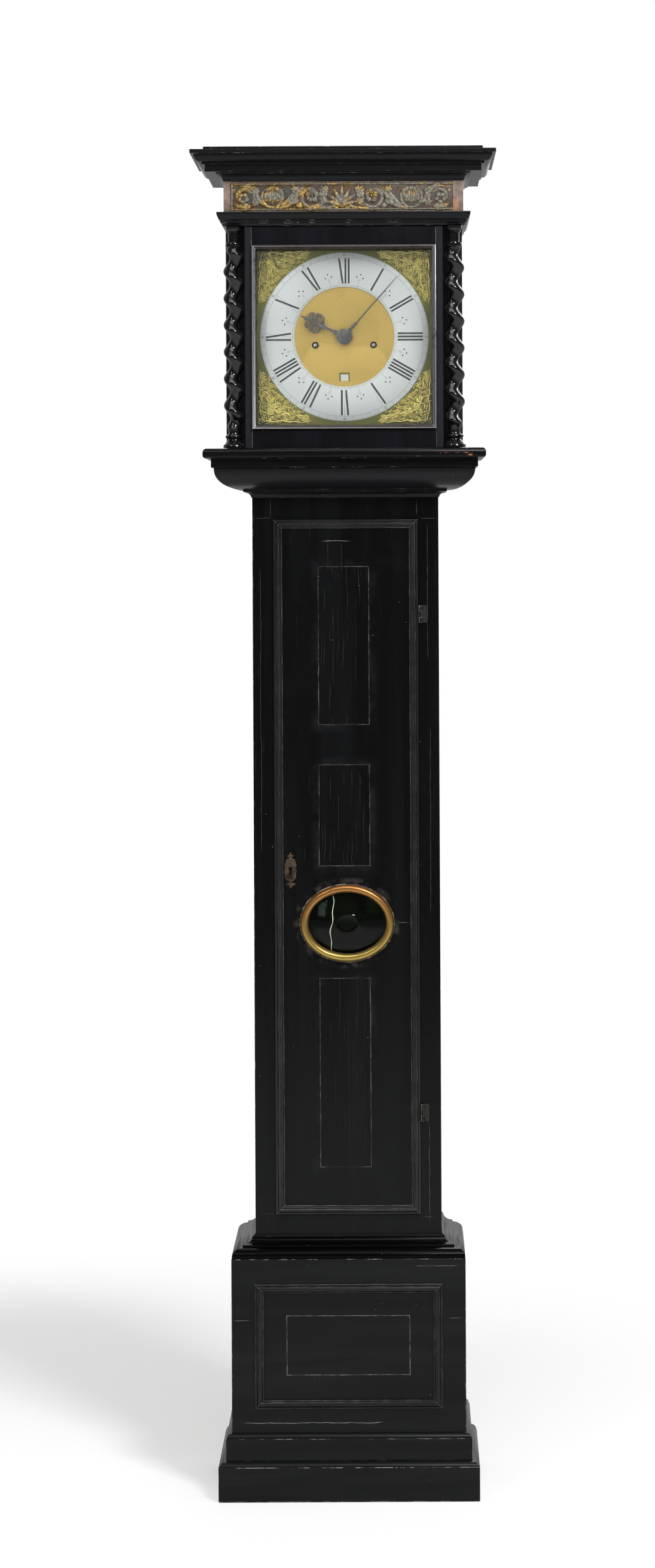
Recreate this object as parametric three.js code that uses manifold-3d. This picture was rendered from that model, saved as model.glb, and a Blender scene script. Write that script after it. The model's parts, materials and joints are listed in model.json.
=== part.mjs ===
// A longcase clock in an ebonised case, with its rising hood, trunk door and moving works.
// Millimetres, +Z up, the front of the case faces -Y, the origin is on the floor under the middle.
import * as THREE from "three";
import { mergeVertices } from "three/addons/utils/BufferGeometryUtils.js";
import Module from "manifold-3d";

const wasm = await Module();
wasm.setup();

// Fits
const seam = 0.3; // glue line or resting gap between two pieces
const runningGap = 0.4; // round a pivot or a pin
const slideGap = 1.5; // between the hood and what it slides over

// Base and plinth
const baseSideStep = 36.5; // base beyond the trunk at each side
const baseFrontStep = 37;
const baseHeight = 373;
const baseFrontBoard = 18;
const caseBoard = 15; // side boards of base and trunk
const plinthLowerHeight = 53.8;
const plinthLowerProjection = 20.5;
const plinthUpperHeight = 33.2;
const plinthUpperProjection = 9;
const plinthMouldingHeight = 8;
const plinthCorner = 1.5; // worn round at the floor
const basePanelMargin = 36.5; // base beside the panel
const basePanelHead = 38.5; // base above the panel
const basePanelSill = 37.6; // base between the plinth and the panel

// Trunk
const trunkStile = 32.25; // trunk front beside the door
const trunkDepth = 190;
const trunkHead = 34.3; // trunk front above the door
const trunkFrontBoard = 18;
const trunkFoot = 60; // how far the trunk goes down into the base
const backboardThickness = 12;
const waistHeight = 33;
const waistInset = 0.7; // waist moulding in from the base's face
const waistNeck = 4.7;
const waistStep = 19.5;
const waistTongue = 30;
const throatHeight = 46;
const throatInset = 4.35; // throat moulding in from the hood's fascia
const throatStep = 13.5;
const throatCove = 9;
const throatFillet = 4;

// Trunk door
const doorWidth = 226.5; // over its moulding
const doorLength = 1086.7;
const doorRise = 30; // bottom edge above the waist moulding
const doorLap = 3.25; // moulding over the trunk front
const doorPlay = 1;
const doorMouldingWidth = 14;
const doorMouldingProud = 8;
const hingeHeight = 27;
const hingeDrop = 135; // top edge of the door to the upper hinge's top
const hingeRise = 145; // bottom edge of the door to the lower hinge's foot
const hingeLeaf = 1.5;
const hingeLeafWidth = 8;
const hingeKnuckleRadius = 2.6;
const hingeOut = 4.25; // pin beyond the door's edge
const hingeForward = 5; // pin in front of the trunk
const lockHeight = 60;
const lockWidth = 22;
const lockDepth = 11.7;
const lockInset = 3;
const boltHeight = 17;
const boltThickness = 6;
const boltTail = 18; // bolt inside the lock
const keyholeRise = 538; // above the door's bottom edge
const escutcheonWidth = 19;
const escutcheonHeight = 57;
const escutcheonPlate = 1.4;
const escutcheonInset = 25; // its middle from the door's edge
const keyholeRadius = 3.1;
const keyholeLength = 11;

// Lenticle, in line with the pendulum bob
const lenticleOuterWidth = 149;
const lenticleOuterHeight = 123;
const lenticleBand = 14;
const lenticleProud = 11;
const lenticleRebate = 3.5; // glass behind the ring
const lenticleGlass = 3;
const lenticleDome = 9;

// Hood
const hoodFrontStep = 38; // hood door's face in front of the trunk
const hoodStile = 47.25; // door beside its opening
const hoodRail = 36.25; // door above and below its opening
const hoodBaseHeight = 29.4;
const hoodFasciaHeight = 14.4;
const hoodFasciaStep = 22.75; // beyond the hood's body
const hoodLipStep = 12.25; // beyond the fascia
const hoodLipRound = 3.6;
const hoodBoard = 14;
const hoodDoorThickness = 22;
const hoodDoorPlay = 1.1;
const hoodOpening = 273.5; // clear square of the moulding
const hoodMouldingWidth = 7.5;
const hoodMouldingProud = 5;
const hoodRebate = 5;
const hoodGlass = 2.5;
const hoodGlassInset = 5.5; // glass back to the door's back
const hoodMaskBoard = 11;
const hoodPivotInset = 2.2; // pivot from the door's back and edge
const hoodPivotRadius = 1.5;
const hoodPivotLength = 7;
const hoodWindowHeight = 240;
const hoodWindowDepth = 112;
const hoodWindowGlass = 2;
const architraveHeight = 21.6;
const architraveFoot = 4;
const architraveHead = 13;
const friezeHeight = 48;
const friezeProjection = 2;
const friezeEnd = 12; // plain block at each end of the carving
const friezeMargin = 3;
const friezeFieldProud = 3;
const corniceHeight = 45.4;
const corniceProjection = 52.1;
const corniceCove = 14;
const corniceFasciaInset = 22.25; // each member in from the top edge
const corniceFilletInset = 17.6;
const corniceOvoloInset = 5.6;
const topBoardThickness = 5.7;
const topBoardInset = 19.75;

// Twist columns of the hood door
const columnEdge = 12.9; // axis from the side of the hood
const columnRadius = 11;
const columnOffset = 5;
const columnPitch = 41.6;
const columnFootRadius = 17.2;
const columnFoot = 31;
const columnHead = 34;
const leftTurn = 0.654; // turns of the twist at its top
const rightTurn = 0.255;
const columnSides = 10;
const columnSteps = 8; // rings in each turn

// Dial
const dialLap = 2.95; // dial behind the edge of the hood's opening
const dialSetBack = 16; // behind the hood door
const dialThickness = 2.5;
const dialRaise = 2.4; // dial middle above the middle of the hood's opening
const chapterMargin = 7.7; // dial beyond the ring
const chapterBand = 54;
const chapterThickness = 1.7;
const spandrelThickness = 4;
const spandrelMargin = 3.7;
const spandrelReach = 84;
const windingSpread = 45.5; // winding squares from the middle
const windingDrop = 13;
const windingHole = 5.5;
const dateDrop = 63.4;
const dateAperture = 9;
const dateRingWidth = 15.8;
const dateRingThickness = 1.2;
const hourTipInset = 2; // inside the chapter ring
const minuteTipInset = 7; // short of its outer edge
const hourAngle = 295.9; // degrees clockwise from twelve
const minuteAngle = 41.6;
const handThickness = 1.6;
const hourForward = 5.4; // hand's back in front of the dial
const minuteForward = 10.4;
const hourPipeRadius = 5;
const arborRadius = 2.6;

// Movement
const plateWidth = 180;
const plateHeight = 180;
const plateThickness = 3.5;
const plateGap = 61; // between the plates
const dialToPlate = 22.5; // dial back to front plate
const plateDrop = 92.5; // dial middle above the plates' feet
const pillarRadius = 5;
const pillarInset = 10;
const dialFootRadius = 3;
const dialFootSpread = 66;
const seatThickness = 20;
const seatFrontGap = 8;
const seatBackGap = 5; // seat board's back edge to the pendulum rod
const barrelRadius = 24;
const barrelLength = 30;
const barrelArbor = 3.9;
const greatWheelRadius = 36;
const greatWheelThickness = 3;
const escapeRadius = 24;
const escapeTeeth = 30;
const escapeRise = 37; // escape arbor above the dial middle
const suspensionRise = 77; // pendulum's hinge line above the dial middle
const anchorSpan = 52; // degrees each side of upright
const anchorThickness = 3;
const anchorArm = 5.2;
const crutchLength = 104;
const pendulumBack = 19; // pendulum behind the back plate
const pendulumLength = 994;
const pendulumRodRadius = 2.5;
const suspensionLength = 38;
const bobRadius = 55;
const bobThickness = 26;
const cockWidth = 24;
const cockHeight = 8;
const bellRadius = 45;
const bellWall = 3;
const bellHeight = 30;
const bellRise = 13; // bell's mouth above the plates
const bellSide = 30;

// Weights and their lines
const weightRadius = 29;
const weightHeight = 170;
const goingDrop = 625; // weight's top below the seat board
const strikeDrop = 560;
const lineRadius = 1;
const knotRadius = 3;
const pulleyRise = 42;
const pulleyThickness = 5;
const lineSlotWidth = 9;
const lineSlotLength = 28;

// Sizes that follow from these
const trunkWidth = doorWidth + 2 * trunkStile;
const trunkLength = doorRise + doorLength + trunkHead; // between waist and throat mouldings
const baseWidth = trunkWidth + 2 * baseSideStep;
const baseDepth = trunkDepth + baseFrontStep;
const plinthTop = plinthLowerHeight + plinthUpperHeight + 2 * plinthMouldingHeight + seam;
const basePanelWidth = baseWidth - 2 * basePanelMargin;
const basePanelHeight = baseHeight - basePanelHead - plinthTop - basePanelSill;
const basePanelRise = plinthTop + basePanelSill + basePanelHeight / 2; // middle of the panel
const waistProjection = baseSideStep - waistInset;
const hoodWidth = hoodOpening + 2 * hoodStile;
const hoodDepth = trunkDepth + hoodFrontStep;
const hoodDoorway = hoodOpening + 2 * hoodRail;
const hoodSideStep = (hoodWidth - trunkWidth) / 2;
const hoodFasciaProjection = Math.max(hoodSideStep, hoodFrontStep) + hoodFasciaStep; // from the trunk
const hoodLipProjection = hoodFasciaProjection + hoodLipStep;
const throatProjection = hoodFasciaProjection - throatInset;
const friezeFieldWidth = hoodWidth - 2 * friezeEnd;
const friezeFieldHeight = friezeHeight - 2 * friezeMargin;
const corniceFascia = corniceProjection - corniceFasciaInset;
const corniceFillet = corniceProjection - corniceFilletInset;
const corniceOvolo = corniceProjection - corniceOvoloInset;
const topBoardProjection = corniceProjection - topBoardInset;
const dialSize = hoodOpening + 2 * dialLap;
const chapterOuter = dialSize / 2 - chapterMargin;
const chapterInner = chapterOuter - chapterBand;
const spandrelEdge = dialSize / 2 - spandrelMargin;
const hourTip = chapterInner - hourTipInset;
const minuteTip = chapterOuter - minuteTipInset;

// Levels and planes that follow from the sizes
const backPlaneY = (hoodDepth + corniceProjection) / 2;
const baseFrontY = backPlaneY - baseDepth;
const trunkFrontY = backPlaneY - trunkDepth;
const trunkBackY = backPlaneY - backboardThickness;
const hoodFrontY = backPlaneY - hoodDepth;
const hoodDoorBackY = hoodFrontY + hoodDoorThickness;
const hoodBodyFrontY = hoodDoorBackY + hoodDoorPlay;
const trunkFootZ = baseHeight - trunkFoot;
const waistTopZ = baseHeight + seam + waistHeight;
const trunkTopZ = waistTopZ + trunkLength;
const throatTopZ = trunkTopZ + throatHeight;
const hoodFloorZ = throatTopZ + seam;
const hoodSillZ = hoodFloorZ + hoodBaseHeight;
const hoodHeadZ = hoodSillZ + hoodDoorway;
const architraveTopZ = hoodHeadZ + architraveHeight;
const friezeTopZ = architraveTopZ + friezeHeight;
const corniceTopZ = friezeTopZ + corniceHeight;
const hoodMiddleZ = (hoodSillZ + hoodHeadZ) / 2;
const dialZ = hoodMiddleZ + dialRaise;
const dialFrontY = hoodDoorBackY + dialSetBack;
const dialBackY = dialFrontY + dialThickness;
const frontPlateY = dialBackY + dialToPlate;
const frontPlateBackY = frontPlateY + plateThickness;
const backPlateY = frontPlateBackY + plateGap;
const backPlateBackY = backPlateY + plateThickness;
const plateFootZ = dialZ - plateDrop;
const plateTopZ = plateFootZ + plateHeight;
const seatTopZ = plateFootZ - seam;
const seatFootZ = seatTopZ - seatThickness;
const doorFootZ = waistTopZ + doorRise;
const doorTopZ = doorFootZ + doorLength;
const doorMiddleZ = (doorFootZ + doorTopZ) / 2;
const doorBoardHalf = doorWidth / 2 - doorLap - doorPlay;
const doorBoardHalfZ = doorLength / 2 - doorLap - doorPlay;
const keyholeZ = doorFootZ + keyholeRise;
const barrelZ = dialZ - windingDrop;
const barrelY = frontPlateBackY + plateGap * 0.4;
const escapeY = backPlateY - 13;
const suspensionZ = dialZ + suspensionRise;
const cockFootZ = suspensionZ + arborRadius + 2 * seam;
const pendulumY = backPlateBackY + pendulumBack;
const bobZ = suspensionZ - pendulumLength;
const lineReach = barrelRadius + seam + lineRadius; // each run of a line from its barrel's middle
const columnX = hoodWidth / 2 - columnEdge;
const hoodPivotX = hoodWidth / 2 - hoodPivotInset;
const hoodPivotY = hoodDoorBackY - hoodPivotInset;

// Finishes
function finish(color, roughness, metalness) {
  return new THREE.MeshStandardMaterial({ color, roughness, metalness });
}
const ebony = finish(0x17181b, 0.38, 0);
const ebonyWorn = finish(0x262627, 0.45, 0);
const oak = finish(0x6a4a2f, 0.7, 0);
const frieze = finish(0x5a4433, 0.6, 0.1);
const brass = finish(0xb08a3c, 0.35, 1);
const gilt = finish(0xc9b24a, 0.35, 1);
const dialBrass = finish(0x7d7a36, 0.45, 1);
const silvered = finish(0xd5d9d8, 0.4, 0.7);
const blued = finish(0x1c2230, 0.3, 1);
const steel = finish(0x8e9094, 0.35, 1);
const lead = finish(0x9a7b3a, 0.4, 1);
const bellMetal = finish(0xc7b27a, 0.3, 1);
const clearGlass = finish(0xdfe8e6, 0.05, 0);
const greenGlass = finish(0x6f7f5c, 0.1, 0);
const gut = finish(0x9b7a4a, 0.6, 0);

// Geometry helpers

// Turns the triangles of a closed solid outward if they all point inward.
function faceOutward(geometry) {
  const position = geometry.attributes.position;
  const index = geometry.index.array;
  const a = new THREE.Vector3();
  const b = new THREE.Vector3();
  const c = new THREE.Vector3();
  let volume = 0;
  for (let i = 0; i < index.length; i += 3) {
    a.fromBufferAttribute(position, index[i]);
    b.fromBufferAttribute(position, index[i + 1]);
    c.fromBufferAttribute(position, index[i + 2]);
    volume += a.dot(b.cross(c));
  }
  if (volume < 0) {
    for (let i = 0; i < index.length; i += 3) {
      [index[i + 1], index[i + 2]] = [index[i + 2], index[i + 1]];
    }
  }
  return geometry;
}

// Skins a row of rings with equal counts; an outline closes both ends, none means they meet.
function ringSolid(rings, outline) {
  const count = rings[0].length;
  const indices = [];
  const spans = outline ? rings.length - 1 : rings.length;
  for (let i = 0; i < spans; i++) {
    const a = i * count;
    const b = ((i + 1) % rings.length) * count;
    for (let j = 0; j < count; j++) {
      const k = (j + 1) % count;
      indices.push(a + j, a + k, b + k, a + j, b + k, b + j);
    }
  }
  if (outline) {
    const last = (rings.length - 1) * count;
    const turn = Math.sign(THREE.ShapeUtils.area(outline));
    for (const [p, q, r] of THREE.ShapeUtils.triangulateShape(outline, [])) {
      const same = Math.sign(THREE.ShapeUtils.area([outline[p], outline[q], outline[r]])) === turn;
      const [s, t] = same ? [q, r] : [r, q];
      indices.push(p, t, s);
      indices.push(last + p, last + s, last + t);
    }
  }
  const geometry = new THREE.BufferGeometry();
  geometry.setAttribute("position", new THREE.Float32BufferAttribute(rings.flat(2), 3));
  geometry.setIndex(indices);
  return faceOutward(geometry);
}

// A moulding round the front and both sides: the profile gives distance out and height.
function threeSided(profile, halfWidth, frontY, rearY) {
  const rings = [
    profile.map(([out, z]) => [-halfWidth - out, rearY, z]),
    profile.map(([out, z]) => [-halfWidth - out, frontY - out, z]),
    profile.map(([out, z]) => [halfWidth + out, frontY - out, z]),
    profile.map(([out, z]) => [halfWidth + out, rearY, z]),
  ];
  return ringSolid(rings, profile.map(([out, z]) => new THREE.Vector2(out, z)));
}

// A mitred frame on a front face: the profile gives distance out and how far it stands proud.
function mitredFrame(profile, halfWidth, halfHeight, middleZ, faceY) {
  const corners = [[-1, -1], [1, -1], [1, 1], [-1, 1]];
  const rings = corners.map(([sx, sz]) => profile.map(([out, proud]) => [
    sx * (halfWidth + out),
    faceY - proud,
    middleZ + sz * (halfHeight + out),
  ]));
  return ringSolid(rings, null);
}

// Points on an ellipse quarter or arc, in a profile's two coordinates.
function arc(centreU, centreV, radiusU, radiusV, fromDegrees, toDegrees, steps) {
  const points = [];
  for (let i = 0; i <= steps; i++) {
    const angle = THREE.MathUtils.degToRad(fromDegrees + (toDegrees - fromDegrees) * i / steps);
    points.push([centreU + radiusU * Math.cos(angle), centreV + radiusV * Math.sin(angle)]);
  }
  return points;
}

function box(x0, x1, y0, y1, z0, z1) {
  const geometry = new THREE.BoxGeometry(x1 - x0, y1 - y0, z1 - z0);
  return geometry.translate((x0 + x1) / 2, (y0 + y1) / 2, (z0 + z1) / 2);
}

// A rod along Y between two planes.
function rodY(radius, x, z, y0, y1, sides = 16) {
  const geometry = new THREE.CylinderGeometry(radius, radius, y1 - y0, sides);
  return geometry.translate(x, (y0 + y1) / 2, z);
}

// A rod along Z between two levels.
function rodZ(radius, x, y, z0, z1, sides = 12) {
  const geometry = new THREE.CylinderGeometry(radius, radius, z1 - z0, sides).rotateX(Math.PI / 2);
  return geometry.translate(x, y, (z0 + z1) / 2);
}

// A turned piece about a vertical axis, from pairs of radius and height.
function turnedZ(profile, x, y, z, sides) {
  const points = profile.map(([radius, height]) => new THREE.Vector2(radius, height));
  return new THREE.LatheGeometry(points, sides).rotateX(Math.PI / 2).translate(x, y, z);
}

// A turned piece about an axis along Y, from pairs of radius and depth.
function turnedY(profile, x, y, z, sides) {
  const points = profile.map(([radius, depth]) => new THREE.Vector2(radius, depth));
  return new THREE.LatheGeometry(points, sides).translate(x, y, z);
}

function shapeOf(points) {
  return new THREE.Shape(points.map(([x, z]) => new THREE.Vector2(x, z)));
}

function circleHole(x, z, radius, sides = 20) {
  const points = arc(x, z, radius, radius, 0, 360 - 360 / sides, sides - 1);
  return new THREE.Path(points.map(([u, v]) => new THREE.Vector2(u, v)));
}

function rectangle(x0, x1, z0, z1) {
  return [[x0, z0], [x1, z0], [x1, z1], [x0, z1]];
}

// A flat piece cut from a shape drawn in X and Z, between two planes of Y.
function plate(shape, frontY, rearY) {
  const options = { depth: rearY - frontY, bevelEnabled: false, curveSegments: 6 };
  return new THREE.ExtrudeGeometry(shape, options).rotateX(Math.PI / 2).translate(0, rearY, 0);
}

function asSolid(geometry) {
  const plain = geometry.clone();
  plain.deleteAttribute("normal");
  plain.deleteAttribute("uv");
  const merged = mergeVertices(plain, 1e-4);
  const index = merged.index.array;
  const kept = [];
  for (let i = 0; i < index.length; i += 3) {
    const [a, b, c] = [index[i], index[i + 1], index[i + 2]];
    if (a !== b && b !== c && c !== a) {
      kept.push(a, b, c);
    }
  }
  const vertProperties = new Float32Array(merged.attributes.position.array);
  return new wasm.Manifold(new wasm.Mesh({ numProp: 3, vertProperties, triVerts: new Uint32Array(kept) }));
}

function asGeometry(solid) {
  const { vertProperties, triVerts } = solid.getMesh();
  const geometry = new THREE.BufferGeometry();
  geometry.setAttribute("position", new THREE.Float32BufferAttribute(vertProperties, 3));
  geometry.setIndex(Array.from(triVerts));
  return geometry;
}

function joined(...geometries) {
  return asGeometry(geometries.map(asSolid).reduce((whole, part) => whole.add(part)));
}

function cut(geometry, ...holes) {
  return asGeometry(holes.map(asSolid).reduce((whole, hole) => whole.subtract(hole), asSolid(geometry)));
}

// Turns a piece about the dial's middle, clockwise as the dial is read.
function turnedByClock(geometry, degrees) {
  const angle = THREE.MathUtils.degToRad(degrees);
  return geometry.translate(0, 0, -dialZ).rotateY(angle).translate(0, 0, dialZ);
}

const clock = new THREE.Group();

function add(name, geometry, material) {
  const mesh = new THREE.Mesh(geometry, material);
  mesh.name = name;
  clock.add(mesh);
}

// Base and plinth

function backboard() {
  const baseHalf = baseWidth / 2 - caseBoard - seam;
  const trunkHalf = trunkWidth / 2;
  const hoodHalf = hoodWidth / 2 - hoodBoard - slideGap;
  const tongueFootZ = baseHeight + seam - waistTongue - seam;
  const earZ = hoodSillZ + slideGap;
  const topZ = corniceTopZ - slideGap;
  const outline = [
    [-baseHalf, 0], [baseHalf, 0], [baseHalf, tongueFootZ], [trunkHalf, tongueFootZ],
    [trunkHalf, earZ], [hoodHalf, earZ], [hoodHalf, topZ],
    [-hoodHalf, topZ], [-hoodHalf, earZ], [-trunkHalf, earZ],
    [-trunkHalf, tongueFootZ], [-baseHalf, tongueFootZ],
  ];
  return plate(shapeOf(outline), backPlaneY - backboardThickness, backPlaneY);
}

function baseSide(side) {
  const outer = side * baseWidth / 2;
  const inner = side * (baseWidth / 2 - caseBoard);
  const frontY = baseFrontY + baseFrontBoard + seam;
  return box(Math.min(outer, inner), Math.max(outer, inner), frontY, backPlaneY, 0, baseHeight);
}

function baseFront() {
  return box(-baseWidth / 2, baseWidth / 2, baseFrontY, baseFrontY + baseFrontBoard, 0, baseHeight);
}

// Ogee picture-frame moulding, higher at its inner edge.
function basePanelMoulding() {
  const profile = [
    [0, seam], [0, 2.2], [-1.6, 3.4], [-3.6, 3.4], [-4.2, 5.2], [-6.2, 7.2], [-8.6, 7.8],
    [-10.6, 7.2], [-11.2, 5.6], [-12.4, 5.2], [-13.5, 3.8], [-13.5, seam],
  ];
  return mitredFrame(profile, basePanelWidth / 2, basePanelHeight / 2, basePanelRise, baseFrontY);
}

function plinthLower() {
  const out = plinthLowerProjection;
  const profile = [
    [seam, 0], [out - plinthCorner, 0], [out, plinthCorner], [out, plinthLowerHeight],
    ...arc(plinthUpperProjection, plinthLowerHeight, out - plinthUpperProjection - 0.8,
      plinthMouldingHeight, 0, 90, 5),
    [seam, plinthLowerHeight + plinthMouldingHeight],
  ];
  return threeSided(profile, baseWidth / 2, baseFrontY, backPlaneY);
}

function plinthUpper() {
  const footZ = plinthLowerHeight + plinthMouldingHeight + seam;
  const edgeZ = footZ + plinthUpperHeight;
  const profile = [
    [seam, footZ], [plinthUpperProjection, footZ], [plinthUpperProjection, edgeZ],
    ...arc(seam, edgeZ, plinthUpperProjection - seam - 0.8, plinthMouldingHeight, 0, 90, 5),
  ];
  return threeSided(profile, baseWidth / 2, baseFrontY, backPlaneY);
}

// Trunk

// The moulding on top of the base, with a tongue let down between base and trunk.
function waistMoulding() {
  const footZ = baseHeight + seam;
  const sideGap = (baseWidth - trunkWidth) / 2 - caseBoard;
  const frontGap = trunkFrontY - baseFrontY - baseFrontBoard;
  const tongue = Math.min(sideGap, frontGap) - seam;
  const ovoloTopZ = footZ + waistHeight * 0.47;
  const stepTopZ = footZ + waistHeight * 0.56;
  const coveTopZ = footZ + waistHeight * 0.88;
  const profile = [
    [seam, footZ - waistTongue], [tongue, footZ - waistTongue], [tongue, footZ],
    [waistProjection - 0.8, footZ],
    ...arc(waistStep, footZ + 3.5, waistProjection - waistStep, ovoloTopZ - footZ - 3.5, 0, 90, 6),
    [waistStep, stepTopZ],
    ...arc(waistStep, coveTopZ, waistStep - waistNeck, coveTopZ - stepTopZ, 250, 180, 5),
    [waistNeck - 1.2, coveTopZ + 1.2], [seam + 0.4, waistTopZ], [seam, waistTopZ],
  ];
  return threeSided(profile, trunkWidth / 2, trunkFrontY, backPlaneY);
}

function trunkSide(side) {
  const outer = side * trunkWidth / 2;
  const inner = side * (trunkWidth / 2 - caseBoard);
  const frontY = trunkFrontY + trunkFrontBoard + seam;
  const rearY = trunkBackY - seam;
  return box(Math.min(outer, inner), Math.max(outer, inner), frontY, rearY, trunkFootZ, seatFootZ - seam);
}

// Stiles and rails round the door.
function trunkFrontFrame() {
  const half = trunkWidth / 2;
  const shape = shapeOf(rectangle(-half, half, trunkFootZ, throatTopZ - slideGap));
  const openHalf = doorWidth / 2 - doorLap;
  const opening = rectangle(-openHalf, openHalf, doorFootZ + doorLap, doorTopZ - doorLap);
  shape.holes.push(new THREE.Path(opening.map(([x, z]) => new THREE.Vector2(x, z))));
  return plate(shape, trunkFrontY, trunkFrontY + trunkFrontBoard);
}

function throatMoulding() {
  const coveTopZ = trunkTopZ + throatCove;
  const filletTopZ = coveTopZ + throatFillet;
  const edgeZ = throatTopZ - 3;
  const profile = [
    [seam, trunkTopZ], [1.2, trunkTopZ],
    ...arc(throatStep, trunkTopZ, throatStep - 1.6, throatCove, 170, 100, 4),
    [throatStep, coveTopZ], [throatStep, filletTopZ],
    ...arc(throatStep + 1.5, edgeZ, throatProjection - throatStep - 1.5, edgeZ - filletTopZ, 270, 360, 9),
    [throatProjection, throatTopZ], [seam, throatTopZ],
  ];
  return threeSided(profile, trunkWidth / 2, trunkFrontY, backPlaneY);
}

// Trunk door

function lenticleHole() {
  const halfWidth = lenticleOuterWidth / 2 - lenticleBand + lenticleRebate;
  const halfHeight = lenticleOuterHeight / 2 - lenticleBand + lenticleRebate;
  return arc(0, bobZ, halfWidth, halfHeight, 0, 360 - 10, 35);
}

function trunkDoorBoard() {
  const outline = rectangle(-doorBoardHalf, doorBoardHalf, doorMiddleZ - doorBoardHalfZ,
    doorMiddleZ + doorBoardHalfZ);
  const shape = shapeOf(outline);
  shape.holes.push(new THREE.Path(lenticleHole().map(([x, z]) => new THREE.Vector2(x, z))));
  return plate(shape, trunkFrontY, trunkFrontY + trunkFrontBoard);
}

// Three reeds round the door, lapping over the trunk front.
function trunkDoorMoulding() {
  const wide = doorMouldingWidth;
  const proud = doorMouldingProud;
  const profile = [
    [0, seam], [0, proud * 0.35], [-wide * 0.1, proud * 0.5], [-wide * 0.3, proud * 0.55],
    [-wide * 0.34, proud * 0.85], [-wide * 0.46, proud], [-wide * 0.6, proud * 0.92],
    [-wide * 0.66, proud * 0.62], [-wide * 0.82, proud * 0.58], [-wide * 0.92, proud * 0.4],
    [-wide, proud * 0.2], [-wide, seam],
  ];
  return mitredFrame(profile, doorWidth / 2, doorLength / 2, doorMiddleZ, trunkFrontY);
}

// Half-round brass ring on an oval.
function lenticleRing() {
  const rings = [];
  const steps = 40;
  for (let i = 0; i < steps; i++) {
    const angle = i * 2 * Math.PI / steps;
    const ring = [];
    for (let j = 0; j <= 5; j++) {
      const turn = Math.PI * j / 5;
      const inward = lenticleBand * (1 - Math.cos(turn)) / 2;
      const proud = seam + lenticleProud * Math.sin(turn);
      ring.push([
        (lenticleOuterWidth / 2 - inward) * Math.cos(angle),
        trunkFrontY - proud,
        bobZ + (lenticleOuterHeight / 2 - inward) * Math.sin(angle),
      ]);
    }
    rings.push(ring);
  }
  return ringSolid(rings, null);
}

// Domed glass in the door's hole, behind the ring.
function lenticleGlassPane() {
  const halfWidth = lenticleOuterWidth / 2 - lenticleBand + lenticleRebate - seam;
  const halfHeight = lenticleOuterHeight / 2 - lenticleBand + lenticleRebate - seam;
  const clear = 1 - (lenticleRebate + 1) / halfHeight;
  const profile = [];
  const steps = 3;
  for (let i = 0; i <= steps; i++) {
    const share = i / steps;
    profile.push([share * clear, -lenticleDome * (1 - share ** 2)]);
  }
  profile.push([1, 0]);
  profile.push([1, lenticleGlass]);
  for (let i = steps; i >= 0; i--) {
    const share = i / steps;
    profile.push([share * clear, lenticleGlass - lenticleDome * (1 - share ** 2)]);
  }
  return turnedY(profile, 0, 0, 0, 36).scale(halfWidth, 1, halfHeight).translate(0, trunkFrontY, bobZ);
}

// Winged plate with a crimped oval and a pendant, pierced by the keyhole.
function escutcheon() {
  const half = escutcheonWidth / 2;
  const tall = escutcheonHeight / 2;
  const side = [
    [0, 1], [0.22, 0.93], [0.3, 0.78], [0.75, 0.74], [0.86, 0.64], [0.55, 0.6], [0.62, 0.5],
    [0.95, 0.36], [0.84, 0.24], [1, 0.1], [0.86, -0.04], [0.98, -0.18], [0.8, -0.3], [0.74, -0.44],
    [0.5, -0.56], [0.7, -0.66], [0.6, -0.74], [0.26, -0.8], [0, -1],
  ];
  const right = side.map(([u, v]) => [u * half, v * tall]);
  const left = right.slice(1, -1).reverse().map(([x, z]) => [-x, z]);
  const middleX = escutcheonInset - doorWidth / 2;
  const shape = shapeOf([...right, ...left].map(([x, z]) => [x + middleX, z + keyholeZ]));
  const slot = keyholeRadius * 0.6;
  const keyhole = [
    ...arc(middleX, keyholeZ + 2.5, keyholeRadius, keyholeRadius, -50, 230, 10),
    [middleX - slot, keyholeZ + 2.5 - keyholeLength], [middleX + slot, keyholeZ + 2.5 - keyholeLength],
  ];
  shape.holes.push(new THREE.Path(keyhole.map(([x, z]) => new THREE.Vector2(x, z))));
  return plate(shape, trunkFrontY - seam - escutcheonPlate, trunkFrontY - seam);
}

// Iron case on the back of the door with a channel for the bolt.
const lockX = lockInset - doorBoardHalf;
const lockFrontY = trunkFrontY + trunkFrontBoard + seam;
const boltFrontY = lockFrontY + 1.7;

function lockCase() {
  const body = box(lockX, lockX + lockWidth, lockFrontY, lockFrontY + lockDepth,
    keyholeZ - lockHeight / 2, keyholeZ + lockHeight / 2);
  const channel = box(lockX - 1, lockX + boltTail + seam, boltFrontY - seam,
    boltFrontY + boltThickness + seam, keyholeZ - boltHeight / 2 - seam, keyholeZ + boltHeight / 2 + seam);
  return cut(body, channel);
}

function lockBolt() {
  return box(lockX - 0.6, lockX + boltTail, boltFrontY, boltFrontY + boltThickness,
    keyholeZ - boltHeight / 2, keyholeZ + boltHeight / 2);
}

// Hinge pin line of the trunk door.
const doorPinX = doorWidth / 2 + hingeOut;
const doorPinY = trunkFrontY - hingeForward;

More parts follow.
